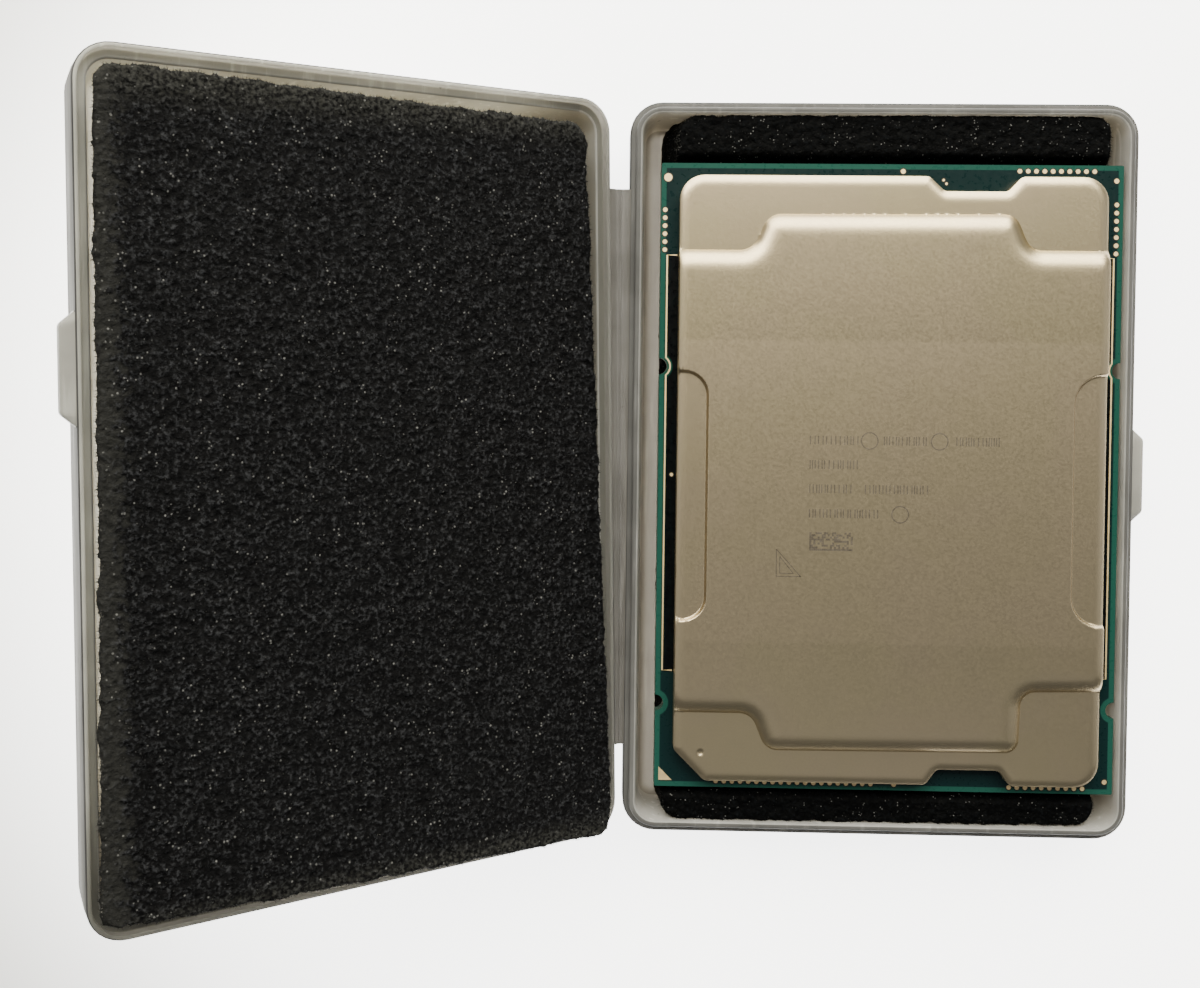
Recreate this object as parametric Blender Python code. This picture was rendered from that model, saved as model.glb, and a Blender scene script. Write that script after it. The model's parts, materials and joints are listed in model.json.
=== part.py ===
"""A server processor lying in the tray of its hinged, foam-lined storage case.

The tray lies flat, with the middle of its bottom face at the origin, the hinge on its -X side
and +Z up. The lid stands open at the angle LID_OPEN_ABOVE_FLAT. The processor is an assembly of its
own: board, silicon, solder, capacitors, contact lands and heat spreader.
"""

import math

import bmesh
import bpy
from mathutils import Matrix, Vector

MM = 0.001

# --- Clearances -----------------------------------------------------------------------------------
GAP = 0.3 * MM  # between pieces that touch
BOND = 0.02 * MM  # either side of a glued or soldered film
OVERRUN = 1.0 * MM  # how far a cutter reaches past the faces it cuts

# --- Storage case ---------------------------------------------------------------------------------
CASE_WIDTH = 62.5 * MM
CASE_LENGTH = 91.0 * MM
HALF_HEIGHT = 8.5 * MM  # from either outer face to the plane where the halves meet
CASE_CORNER_RADIUS = 4.0 * MM
CASE_EDGE_RADIUS = 1.0 * MM
FLOOR = 1.0 * MM
WALL = 1.5 * MM
LEDGE_INSET = 0.75 * MM  # width of the tray's ledge outside its lip
LIP_HEIGHT = 0.7 * MM
LIP_CLEARANCE = 0.2 * MM
RIM_HEIGHT = HALF_HEIGHT - GAP / 2

TAB_REACH = 1.5 * MM
TAB_LENGTH = 11.6 * MM
TAB_THICKNESS = 2.4 * MM
TRAY_TAB_Y = -0.2 * MM
LID_TAB_Y = 12.7 * MM

HINGE_GAP = 1.7 * MM  # between the two halves' side walls, across the hinge's middle
HINGE_YAW = math.radians(0.62)  # the fold line runs this much askew, so the open lid fans out
HINGE_LENGTH = 69.3 * MM
HINGE_THICKNESS = 0.35 * MM
HINGE_DROP = 0.2 * MM  # the web's middle plane lies this far under the hinge axis
HINGE_GROOVE = 0.12 * MM
LID_OPEN_ABOVE_FLAT = math.radians(30.5)

ADHESIVE = 0.1 * MM
FOAM_CORNER_RADIUS = 2.2 * MM
TRAY_FOAM_WIDTH = 55.2 * MM
TRAY_FOAM_LENGTH = 87.6 * MM
TRAY_FOAM_X = 0.7 * MM  # pushed towards the tab side
TRAY_FOAM_TOP = 7.1 * MM
FOAM_HOLLOW = (19.0 * MM, 25.0 * MM, 0.6 * MM)  # pressed into the tray's foam by the capacitors

LID_FOAM_WIDTH = 57.4 * MM
LID_FOAM_LENGTH = 86.4 * MM
LID_FOAM_X = 0.2 * MM  # towards the hinge, from the lid's middle
LID_FOAM_Y = -0.4 * MM
LID_FOAM_TOP = HALF_HEIGHT + 1.5 * MM  # stands proud of the lid's rim

# --- Processor: x, y from the board's middle, z from its upper face -------------------------------
PROCESSOR_X = 0.9 * MM
PROCESSOR_Y = -0.9 * MM
PROCESSOR_Z = 9.0 * MM  # of the board's upper face
BOARD_WIDTH = 56.5 * MM
BOARD_LENGTH = 77.5 * MM
BOARD_THICKNESS = 1.6 * MM
BOARD_CORNER_RADIUS = 0.2 * MM
KEY_NOTCH_RADIUS = 1.0 * MM
KEY_NOTCH_YS = (13.6 * MM, -28.3 * MM)

SPREADER_LEFT_X = -26.05 * MM
SPREADER_RIGHT_X = 25.7 * MM
SPREADER_TOP_Y = 37.0 * MM
SPREADER_BOTTOM_Y = -37.35 * MM
SPREADER_CORNER_RADIUS = 3.0 * MM
SPREADER_UNDERSIDE = 0.2 * MM
FLANGE_TOP = 1.9 * MM
PLATEAU_TOP = 3.1 * MM
PLATEAU_INSET = 0.05 * MM  # in from the flange's long sides
RECESS_DEPTH = 0.45 * MM
RECESS_Y = (-17.3 * MM, 13.0 * MM)
RECESS_LEFT_X = -22.5 * MM
RECESS_RIGHT_X = 21.6 * MM
RECESS_CORNER_RADIUS = 3.0 * MM
CAVITY_TOP = 1.2 * MM
CAVITY_HALF_WIDTH = 20.5 * MM
CAVITY_Y = (-31.2 * MM, 31.0 * MM)
PIN_ONE_CHAMFER = 3.8 * MM

SEALANT_TOP = 0.18 * MM
SEALANT_OUTER = (24.6 * MM, 34.2 * MM)  # half width, half length
SEALANT_INNER = (21.2 * MM, 31.6 * MM)
SEALANT_VENT = 6.0 * MM

DIE_WIDTH = 20.4 * MM
DIE_LENGTH = 30.8 * MM
BUMP_TOP = 0.10 * MM
DIE_BOTTOM = 0.12 * MM
DIE_TOP = 0.90 * MM
UNDERFILL_SPREAD = 1.0 * MM
UNDERFILL_HEIGHT = 0.45 * MM

DIE_SIDE_CAPACITOR = (1.0 * MM, 0.5 * MM, 0.55 * MM)
DIE_SIDE_COLUMNS = 6
DIE_SIDE_PITCH = 5.0 * MM
DIE_SIDE_ROW_Y = 22.0 * MM
LAND_SIDE_CAPACITOR = (1.6 * MM, 0.8 * MM, 0.5 * MM)
LAND_SIDE_XS = (-6.0 * MM, -2.0 * MM, 2.0 * MM, 6.0 * MM)
LAND_SIDE_YS = (-9.0 * MM, -3.0 * MM, 3.0 * MM, 9.0 * MM)
CAPACITOR_EDGE = 0.06 * MM

LAND_THICKNESS = 0.05 * MM
LAND_FIELD_HALF_WIDTH = 27.2 * MM
LAND_FIELD_HALF_LENGTH = 37.7 * MM
LAND_FIELD_SPLIT = 1.0 * MM  # half the bare strip between the two fields
LAND_WINDOW = (9.0 * MM, 12.0 * MM)  # half width, half length of the capacitors' bare window

ARC_STEPS = 4
BLOCK_CORNER_SEGMENTS = 5
SMALL_CORNER_SEGMENTS = 2
BLOCK_EDGE_SEGMENTS = 2

HINGE_X = -(CASE_WIDTH + HINGE_GAP) / 2
HINGE_AXIS = Vector((-math.sin(HINGE_YAW), math.cos(HINGE_YAW), 0.0))


# --- Scene, materials and objects -----------------------------------------------------------------
def clear_scene():
    for scene_object in list(bpy.data.objects):
        bpy.data.objects.remove(scene_object, do_unlink=True)


def new_collection(name):
    collection = bpy.data.collections.new(name)
    bpy.context.scene.collection.children.link(collection)
    return collection


def new_material(name, colour, roughness, metallic=0.0, alpha=1.0):
    material = bpy.data.materials.new(name)
    material.use_nodes = True
    shader = material.node_tree.nodes["Principled BSDF"]
    shader.inputs["Base Color"].default_value = (*colour, 1.0)
    shader.inputs["Roughness"].default_value = roughness
    shader.inputs["Metallic"].default_value = metallic
    shader.inputs["Alpha"].default_value = alpha
    return material


def new_pivot(name, location, turn=Matrix.Identity(3)):
    """An empty on a joint's axis, which the moving pieces are parented to."""
    pivot = bpy.data.objects.new(name, None)
    pivot.location = location
    pivot.rotation_euler = turn.to_euler()
    PARTS.objects.link(pivot)
    return pivot


def object_from_bmesh(name, shape, collection):
    mesh = bpy.data.meshes.new(name)
    bmesh.ops.recalc_face_normals(shape, faces=shape.faces)
    shape.to_mesh(mesh)
    shape.free()
    new_object = bpy.data.objects.new(name, mesh)
    collection.objects.link(new_object)
    return new_object


def finish_part(part, material, pivot=None, offset=(0.0, 0.0, 0.0)):
    """Gives a part its material, its parent and its place from that parent."""
    part.data.materials.append(material)
    part.parent = pivot
    part.location = offset
    part.data.shade_smooth()
    part.data.set_sharp_from_angle(angle=math.radians(30))
    return part


# --- Shapes ---------------------------------------------------------------------------------------
def block(name, size, bottom, centre=(0.0, 0.0), corner=0.0, bottom_edge=0.0, collection=None):
    """An upright block with rounded upright edges and, if wanted, a rounded bottom edge."""
    width, length, height = size
    shape = bmesh.new()
    bmesh.ops.create_cube(shape, size=1.0)
    bmesh.ops.scale(shape, vec=(width, length, height), verts=shape.verts)
    bmesh.ops.translate(shape, vec=(*centre, bottom + height / 2), verts=shape.verts)
    if corner > 0:
        upright = [edge for edge in shape.edges if abs(edge.verts[0].co.z - edge.verts[1].co.z) > height / 2]
        bevel_edges(shape, upright, corner, BLOCK_CORNER_SEGMENTS if corner > MM else SMALL_CORNER_SEGMENTS)
    if bottom_edge > 0:
        lower = [edge for edge in shape.edges if max(v.co.z for v in edge.verts) < bottom + height / 4]
        bevel_edges(shape, lower, bottom_edge, BLOCK_EDGE_SEGMENTS)
    return object_from_bmesh(name, shape, collection or PARTS)


def bevel_edges(shape, edges, radius, segments):
    bmesh.ops.bevel(
        shape, geom=edges, offset=radius, offset_type="OFFSET", segments=segments, profile=0.5, affect="EDGES"
    )


def corner_arc(corner, before, after, radius):
    """Points of the arc that rounds one corner of an outline."""
    if radius == 0:
        return [corner]
    to_before = (before - corner).normalized()
    to_after = (after - corner).normalized()
    half_angle = to_before.angle(to_after) / 2
    centre = corner + (to_before + to_after).normalized() * (radius / math.sin(half_angle))
    reach = radius / math.tan(half_angle)
    start = corner + to_before * reach - centre
    end = corner + to_after * reach - centre
    turn = -start.angle_signed(end)
    return [centre + Matrix.Rotation(turn * step / ARC_STEPS, 2) @ start for step in range(ARC_STEPS + 1)]


def rounded_outline(corners):
    """A closed outline through corners given as (x, y, radius)."""
    places = [Vector((x, y)) for x, y, _ in corners]
    points = []
    for index, (_, _, radius) in enumerate(corners):
        after = places[(index + 1) % len(places)]
        points += corner_arc(places[index], places[index - 1], after, radius)
    return points


def rectangle(half_width, low_y, high_y, radius):
    return [
        (-half_width, low_y, radius),
        (half_width, low_y, radius),
        (half_width, high_y, radius),
        (-half_width, high_y, radius),
    ]


def plate(name, corners, bottom, top, collection=None):
    """A flat plate: a filled curve along the rounded outline, turned into a mesh."""
    outline = rounded_outline(corners)
    curve = bpy.data.curves.new(name + "_outline", "CURVE")
    curve.dimensions = "2D"
    curve.fill_mode = "BOTH"
    curve.extrude = (top - bottom) / 2
    spline = curve.splines.new("POLY")
    spline.points.add(len(outline) - 1)
    for point, place in zip(spline.points, outline):
        point.co = (place.x, place.y, 0.0, 1.0)
    spline.use_cyclic_u = True
    curve_object = bpy.data.objects.new(name + "_outline", curve)
    bpy.context.scene.collection.objects.link(curve_object)
    bpy.context.view_layer.update()
    evaluated = curve_object.evaluated_get(bpy.context.evaluated_depsgraph_get())
    filled = bpy.data.meshes.new_from_object(evaluated)
    shape = bmesh.new()
    shape.from_mesh(filled)
    bpy.data.objects.remove(curve_object, do_unlink=True)
    bpy.data.meshes.remove(filled)
    bmesh.ops.remove_doubles(shape, verts=shape.verts, dist=0.001 * MM)
    bmesh.ops.translate(shape, vec=(0.0, 0.0, (bottom + top) / 2), verts=shape.verts)
    return object_from_bmesh(name, shape, collection or PARTS)


def upright_cylinder(name, radius, bottom, top, centre, segments=24):
    shape = bmesh.new()
    bmesh.ops.create_cone(
        shape, cap_ends=True, segments=segments, radius1=radius, radius2=radius, depth=top - bottom
    )
    bmesh.ops.translate(shape, vec=(*centre, (bottom + top) / 2), verts=shape.verts)
    return object_from_bmesh(name, shape, CUTTERS)


def combine(part, tool, operation):
    """Cuts a tool from a part (DIFFERENCE) or adds it to the part (UNION)."""
    tool.hide_render = True
    tool.display_type = "WIRE"
    modifier = part.modifiers.new(tool.name, "BOOLEAN")
    modifier.operation = operation
    modifier.solver = "EXACT"
    modifier.object = tool


def combine_all(part, tools, operation):
    """Combines tools that are placed like the part, and moves them with it."""
    for tool in tools:
        tool.parent = part
        combine(part, tool, operation)


# --- Storage case ---------------------------------------------------------------------------------
def case_half(name, tab_side, tab_y, mouth_tools, mouth_operation):
    """One half of the case, opening upwards, with its outer face's middle at the origin."""
    shell = block(
        name,
        (CASE_WIDTH, CASE_LENGTH, RIM_HEIGHT),
        bottom=0.0,
        corner=CASE_CORNER_RADIUS,
        bottom_edge=CASE_EDGE_RADIUS,
    )
    tab_width = TAB_REACH + WALL / 2
    tab = block(
        name + "_tab",
        (tab_width, TAB_LENGTH, TAB_THICKNESS),
        bottom=RIM_HEIGHT - TAB_THICKNESS - GAP,
        centre=(tab_side * (CASE_WIDTH / 2 + TAB_REACH - tab_width / 2), tab_y),
        corner=TAB_REACH / 3,
        collection=CUTTERS,
    )
    combine_all(shell, [tab], "UNION")
    combine_all(shell, mouth_tools, mouth_operation)
    cavity = block(
        name + "_cavity",
        (CASE_WIDTH - 2 * WALL, CASE_LENGTH - 2 * WALL, HALF_HEIGHT + LIP_HEIGHT),
        bottom=FLOOR,
        corner=CASE_CORNER_RADIUS - WALL,
        bottom_edge=CASE_EDGE_RADIUS / 2,
        collection=CUTTERS,
    )
    combine_all(shell, [cavity], "DIFFERENCE")
    return shell


def build_tray_shell():
    lip_bottom = HALF_HEIGHT / 2
    lip = block(
        "tray_lip",
        (CASE_WIDTH - 2 * LEDGE_INSET, CASE_LENGTH - 2 * LEDGE_INSET, HALF_HEIGHT + LIP_HEIGHT - lip_bottom),
        bottom=lip_bottom,
        corner=CASE_CORNER_RADIUS - LEDGE_INSET,
        collection=CUTTERS,
    )
    shell = case_half("tray_shell", 1, TRAY_TAB_Y, [lip], "UNION")
    finish_part(shell, CASE_PLASTIC)


def build_lid_shell(pivot):
    inset = LEDGE_INSET - LIP_CLEARANCE
    depth = LIP_HEIGHT + GAP
    recess = block(
        "lid_recess",
        (CASE_WIDTH - 2 * inset, CASE_LENGTH - 2 * inset, depth + OVERRUN),
        bottom=RIM_HEIGHT - depth,
        corner=CASE_CORNER_RADIUS - inset,
        collection=CUTTERS,
    )
    shell = case_half("lid_shell", -1, LID_TAB_Y, [recess], "DIFFERENCE")
    finish_part(shell, CASE_PLASTIC, pivot, LID_MIDDLE)


def open_lid(above_flat):
    """The turn of a lid that lies flat and square when shut, opened about the skewed hinge."""
    return Matrix.Rotation(above_flat - math.pi, 3, HINGE_AXIS) @ Matrix.Rotation(math.pi, 3, "Y")


def build_living_hinge():
    """The thin tapering web that joins the halves, with a fold line along its middle."""
    half_length = HINGE_LENGTH / 2
    fan = half_length * math.tan(HINGE_YAW)
    narrow = HINGE_GAP / 2 - fan - GAP
    wide = HINGE_GAP / 2 + fan - GAP
    web = plate(
        "living_hinge",
        [
            (-narrow, -half_length, 0.0),
            (narrow, -half_length, 0.0),
            (wide, half_length, 0.0),
            (-wide, half_length, 0.0),
        ],
        -HINGE_THICKNESS / 2,
        HINGE_THICKNESS / 2,
    )
    groove = block(
        "living_hinge_groove",
        (HINGE_GROOVE, HINGE_LENGTH + 2 * OVERRUN, HINGE_THICKNESS),
        bottom=HINGE_THICKNESS / 2 - HINGE_GROOVE,
        collection=CUTTERS,
    )
    combine_all(web, [groove], "DIFFERENCE")
    finish_part(web, HINGE_PLASTIC)
    lean = Matrix.Rotation(LID_OPEN_ABOVE_FLAT / 2, 3, HINGE_AXIS) @ Matrix.Rotation(HINGE_YAW, 3, "Z")
    web.location = (HINGE_X, 0.0, HALF_HEIGHT - HINGE_DROP)
    web.rotation_euler = lean.to_euler()


def build_foam(name, size, centre, top, pivot=None, offset=(0.0, 0.0, 0.0)):
    """A foam pad and the adhesive film that holds it to the floor of its half."""
    width, length = size
    film_bottom = FLOOR + BOND
    film = block(
        name + "_adhesive", (width - 2 * MM, length - 2 * MM, ADHESIVE), film_bottom, centre, FOAM_CORNER_RADIUS
    )
    finish_part(film, ADHESIVE_FILM, pivot, offset)
    pad_bottom = film_bottom + ADHESIVE + BOND
    pad = block(name + "_pad", (width, length, top - pad_bottom), pad_bottom, centre, FOAM_CORNER_RADIUS)
    return finish_part(pad, FOAM, pivot, offset)


def build_case(lid_pivot):
    build_tray_shell()
    build_living_hinge()
    tray_pad = build_foam(
        "tray_foam", (TRAY_FOAM_WIDTH, TRAY_FOAM_LENGTH), (TRAY_FOAM_X, 0.0), TRAY_FOAM_TOP
    )
    hollow_width, hollow_length, hollow_depth = FOAM_HOLLOW
    hollow = block(
        "tray_foam_hollow",
        (hollow_width, hollow_length, hollow_depth + OVERRUN),
        bottom=TRAY_FOAM_TOP - hollow_depth,
        centre=(PROCESSOR_X, PROCESSOR_Y),
        collection=CUTTERS,
    )
    combine_all(tray_pad, [hollow], "DIFFERENCE")
    build_lid_shell(lid_pivot)
    build_foam(
        "lid_foam",
        (LID_FOAM_WIDTH, LID_FOAM_LENGTH),
        (LID_FOAM_X, LID_FOAM_Y),
        LID_FOAM_TOP,
        lid_pivot,
        LID_MIDDLE,
    )


# --- Processor ------------------------------------------------------------------------------------
def build_board(pivot):
    board = block(
        "substrate",
        (BOARD_WIDTH, BOARD_LENGTH, BOARD_THICKNESS),
        bottom=-BOARD_THICKNESS,
        corner=BOARD_CORNER_RADIUS,
    )
    notches = []
    for side, side_name in ((-1, "left"), (1, "right")):
        for number, notch_y in enumerate(KEY_NOTCH_YS, 1):
            notches.append(
                upright_cylinder(
                    f"key_notch_{side_name}_{number}",
                    KEY_NOTCH_RADIUS,
                    -BOARD_THICKNESS - OVERRUN,
                    OVERRUN,
                    (side * BOARD_WIDTH / 2, notch_y),
                )
            )
    combine_all(board, notches, "DIFFERENCE")
    finish_part(board, BOARD_LAMINATE, pivot)


def flange_corners():
    """The spreader's outline: a notch in each short side and a chamfer at the pin-one corner."""
    left = SPREADER_LEFT_X
    right = SPREADER_RIGHT_X
    top = SPREADER_TOP_Y
    bottom = SPREADER_BOTTOM_Y
    round_corner = SPREADER_CORNER_RADIUS
    notch_corner = 1.0 * MM
    top_notch = [
        (15.3 * MM, top, notch_corner),
        (13.6 * MM, top - 1.8 * MM, notch_corner),
        (6.0 * MM, top - 1.8 * MM, notch_corner),
        (4.1 * MM, top, notch_corner),
    ]
    bottom_notch = [
        (4.8 * MM, bottom, notch_corner),
        (6.1 * MM, bottom + 1.9 * MM, notch_corner),
        (13.7 * MM, bottom + 1.9 * MM, notch_corner),
        (15.1 * MM, bottom, notch_corner),
    ]
    return [
        (right, bottom, round_corner),
        (right, top, round_corner),
        *top_notch,
        (left, top, round_corner),
        (left, bottom + PIN_ONE_CHAMFER, notch_corner),
        (left + PIN_ONE_CHAMFER, bottom, notch_corner),
        *bottom_notch,
    ]


def plateau_corners():
    """The raised middle of the spreader, which steps in towards each short side."""
    left = SPREADER_LEFT_X + PLATEAU_INSET
    right = SPREADER_RIGHT_X - PLATEAU_INSET
    bend = 2.2 * MM
    upper_side_y = 27.5 * MM
    upper_y = 32.2 * MM
    lower_left_y = -28.4 * MM
    lower_y = -32.8 * MM
    lower_right_y = -25.2 * MM
    return [
        (right, lower_right_y, 0.0),
        (right, upper_side_y, 0.0),
        (16.0 * MM, upper_side_y, bend),
        (14.2 * MM, upper_y, bend),
        (-15.0 * MM, upper_y, bend),
        (-16.9 * MM, upper_side_y, bend),
        (left, upper_side_y, 0.0),
        (left, lower_left_y, 0.0),
        (-16.3 * MM, lower_left_y, bend),
        (-14.5 * MM, lower_y, bend),
        (15.5 * MM, lower_y, bend),
        (15.7 * MM, lower_right_y, bend),
    ]


def build_heat_spreader(pivot):
    spreader = plate("heat_spreader", flange_corners(), SPREADER_UNDERSIDE, FLANGE_TOP)
    plateau = plate("spreader_plateau", plateau_corners(), FLANGE_TOP / 2, PLATEAU_TOP, CUTTERS)
    combine_all(spreader, [plateau], "UNION")
    low_y, high_y = RECESS_Y
    recesses = []
    for name, inner_x, outer_x in (
        ("spreader_recess_left", RECESS_LEFT_X, SPREADER_LEFT_X - OVERRUN),
        ("spreader_recess_right", RECESS_RIGHT_X, SPREADER_RIGHT_X + OVERRUN),
    ):
        corners = [
            (inner_x, low_y, RECESS_CORNER_RADIUS),
            (inner_x, high_y, RECESS_CORNER_RADIUS),
            (outer_x, high_y, 0.0),
            (outer_x, low_y, 0.0),
        ]
        recesses.append(plate(name, corners, PLATEAU_TOP - RECESS_DEPTH, PLATEAU_TOP + OVERRUN, CUTTERS))
    cavity = plate(
        "spreader_cavity",
        rectangle(CAVITY_HALF_WIDTH, *CAVITY_Y, 2.5 * MM),
        SPREADER_UNDERSIDE - OVERRUN,
        CAVITY_TOP,
        CUTTERS,
    )
    combine_all(spreader, [*recesses, cavity], "DIFFERENCE")
    finish_part(spreader, NICKEL_PLATE, pivot)


def build_sealant(pivot):
    """The bead under the spreader's flange, left open on one side so that the cavity can breathe."""
    half_width, half_length = SEALANT_OUTER
    inner_half_width, inner_half_length = SEALANT_INNER
    bead = plate(
        "spreader_sealant_bead",
        rectangle(half_width, -half_length, half_length, 2.5 * MM),
        BOND,
        SEALANT_TOP,
    )
    middle = plate(
        "sealant_middle",
        rectangle(inner_half_width, -inner_half_length, inner_half_length, 1.5 * MM),
        BOND - OVERRUN,
        SEALANT_TOP + OVERRUN,
        CUTTERS,
    )
    vent = block(
        "sealant_vent",
        (SEALANT_VENT, half_length - inner_half_length + 2 * OVERRUN, SEALANT_TOP + 2 * OVERRUN),
        bottom=BOND - OVERRUN,
        centre=(0.0, -(half_length + inner_half_length) / 2),
        collection=CUTTERS,
    )
    combine_all(bead, [middle, vent], "DIFFERENCE")
    finish_part(bead, SEALANT, pivot)


def build_silicon(pivot):
    """The die, the solder bumps under it, the underfill round it and the solder film on it."""
    inset = 0.6 * MM
    bumps = block(
        "solder_bump_field", (DIE_WIDTH - inset, DIE_LENGTH - inset, BUMP_TOP - BOND), BOND
    )
    finish_part(bumps, SOLDER, pivot)
    die = block("silicon_die", (DIE_WIDTH, DIE_LENGTH, DIE_TOP - DIE_BOTTOM), DIE_BOTTOM)
    finish_part(die, SILICON, pivot)
    underfill = block(
        "underfill_fillet",
        (DIE_WIDTH + 2 * UNDERFILL_SPREAD, DIE_LENGTH + 2 * UNDERFILL_SPREAD, UNDERFILL_HEIGHT),
        BOND,
        corner=UNDERFILL_SPREAD,
    )
    clearance = 2 * BOND
    die_space = block(
        "underfill_window",
        (DIE_WIDTH + 2 * clearance, DIE_LENGTH + 2 * clearance, UNDERFILL_HEIGHT + 2 * OVERRUN),
        BOND - OVERRUN,
        collection=CUTTERS,
    )
    combine_all(underfill, [die_space], "DIFFERENCE")
    finish_part(underfill, UNDERFILL, pivot)
    film_bottom = DIE_TOP + BOND
    film = block(
        "solder_thermal_interface",
        (DIE_WIDTH - inset, DIE_LENGTH - inset, CAVITY_TOP - BOND - film_bottom),
        film_bottom,
    )
    finish_part(film, INDIUM, pivot)


def build_capacitors(pivot):
    die_side_places = [
        ((column - (DIE_SIDE_COLUMNS - 1) / 2) * DIE_SIDE_PITCH, row_y)
        for row_y in (DIE_SIDE_ROW_Y, -DIE_SIDE_ROW_Y)
        for column in range(DIE_SIDE_COLUMNS)
    ]
    land_side_places = [(x, y) for y in LAND_SIDE_YS for x in LAND_SIDE_XS]
    land_side_bottom = -BOARD_THICKNESS - BOND - LAND_SIDE_CAPACITOR[2]
    for group, size, places, bottom in (
        ("die_side_capacitor", DIE_SIDE_CAPACITOR, die_side_places, BOND),
        ("land_side_capacitor", LAND_SIDE_CAPACITOR, land_side_places, land_side_bottom),
    ):
        for number, (x, y) in enumerate(places, 1):
            capacitor = block(f"{group}_{number:02d}", size, -size[2] / 2, corner=CAPACITOR_EDGE)
            finish_part(capacitor, CAPACITOR, pivot, (x, y, bottom + size[2] / 2))


def build_land_fields(pivot):
    """Two C-shaped sheets that stand for the board's gold contact lands."""
    top = -BOARD_THICKNESS - BOND
    window_width, window_length = LAND_WINDOW
    width = LAND_FIELD_HALF_WIDTH - LAND_FIELD_SPLIT
    for side, name in ((-1, "land_field_left"), (1, "land_field_right")):
        field = block(
            name,
            (width, 2 * LAND_FIELD_HALF_LENGTH, LAND_THICKNESS),
            top - LAND_THICKNESS,
            (side * (LAND_FIELD_SPLIT + width / 2), 0.0),
        )
        window = block(
            name + "_window",
            (2 * window_width, 2 * window_length, LAND_THICKNESS + 2 * OVERRUN),
            top - LAND_THICKNESS - OVERRUN,
            collection=CUTTERS,
        )
        combine_all(field, [window], "DIFFERENCE")
        finish_part(field, GOLD_LANDS, pivot)


def build_processor(pivot):
    build_board(pivot)
    build_heat_spreader(pivot)
    build_sealant(pivot)
    build_silicon(pivot)
    build_capacitors(pivot)
    build_land_fields(pivot)


clear_scene()
PARTS = new_collection("server_processor_in_case")
CUTTERS = new_collection("cutters")

CASE_PLASTIC = new_material("frosted_polypropylene", (0.55, 0.54, 0.50), 0.42, alpha=0.6)
HINGE_PLASTIC = new_material("hinge_polypropylene", (0.50, 0.49, 0.46), 0.38, alpha=0.6)
ADHESIVE_FILM = new_material("adhesive_film", (0.75, 0.73, 0.66), 0.5)
FOAM = new_material("conductive_foam", (0.012, 0.012, 0.013), 0.9)
BOARD_LAMINATE = new_material("board_laminate", (0.006, 0.045, 0.055), 0.35)
NICKEL_PLATE = new_material("nickel_plate", (0.58, 0.53, 0.43), 0.36, metallic=1.0)
SEALANT = new_material("sealant", (0.05, 0.05, 0.05), 0.7)
SOLDER = new_material("solder", (0.55, 0.56, 0.58), 0.4, metallic=1.0)
INDIUM = new_material("indium_solder", (0.70, 0.70, 0.72), 0.45, metallic=1.0)
SILICON = new_material("silicon", (0.09, 0.09, 0.11), 0.12)
UNDERFILL = new_material("underfill", (0.02, 0.03, 0.09), 0.4)
CAPACITOR = new_material("capacitor_ceramic", (0.32, 0.20, 0.12), 0.5)
GOLD_LANDS = new_material("gold_plate", (0.83, 0.62, 0.28), 0.3, metallic=1.0)

LID_MIDDLE = (-(HINGE_GAP + CASE_WIDTH) / 2, 0.0, -HALF_HEIGHT)
build_case(new_pivot("lid_pivot", (HINGE_X, 0.0, HALF_HEIGHT), open_lid(LID_OPEN_ABOVE_FLAT)))
build_processor(new_pivot("processor_pivot", (PROCESSOR_X, PROCESSOR_Y, PROCESSOR_Z)))
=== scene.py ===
"""Looks of the server processor in its open storage case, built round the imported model."""

import json
import math
import random

import bmesh
import bpy
import numpy as np
from mathutils import Matrix, Vector, noise
from mathutils.geometry import delaunay_2d_cdt
from mathutils.kdtree import KDTree


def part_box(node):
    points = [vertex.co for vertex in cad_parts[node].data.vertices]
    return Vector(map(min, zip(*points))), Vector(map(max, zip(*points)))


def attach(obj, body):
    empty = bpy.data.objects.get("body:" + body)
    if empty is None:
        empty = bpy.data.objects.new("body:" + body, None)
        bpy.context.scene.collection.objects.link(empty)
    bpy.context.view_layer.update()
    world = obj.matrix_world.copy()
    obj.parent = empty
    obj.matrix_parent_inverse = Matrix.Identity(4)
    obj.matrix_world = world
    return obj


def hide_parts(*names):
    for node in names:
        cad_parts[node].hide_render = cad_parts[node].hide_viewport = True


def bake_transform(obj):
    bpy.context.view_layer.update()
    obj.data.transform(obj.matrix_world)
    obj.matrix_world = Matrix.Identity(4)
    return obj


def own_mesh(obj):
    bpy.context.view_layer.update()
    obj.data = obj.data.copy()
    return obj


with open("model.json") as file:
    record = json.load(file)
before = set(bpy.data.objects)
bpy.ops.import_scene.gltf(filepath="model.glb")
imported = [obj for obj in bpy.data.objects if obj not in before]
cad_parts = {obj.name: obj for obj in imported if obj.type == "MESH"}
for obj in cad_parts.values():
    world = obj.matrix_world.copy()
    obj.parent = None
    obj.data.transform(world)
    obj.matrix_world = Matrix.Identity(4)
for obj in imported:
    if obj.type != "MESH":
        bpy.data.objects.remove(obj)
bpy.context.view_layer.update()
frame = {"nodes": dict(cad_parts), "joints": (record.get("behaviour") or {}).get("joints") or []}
MM = 0.001

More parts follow.
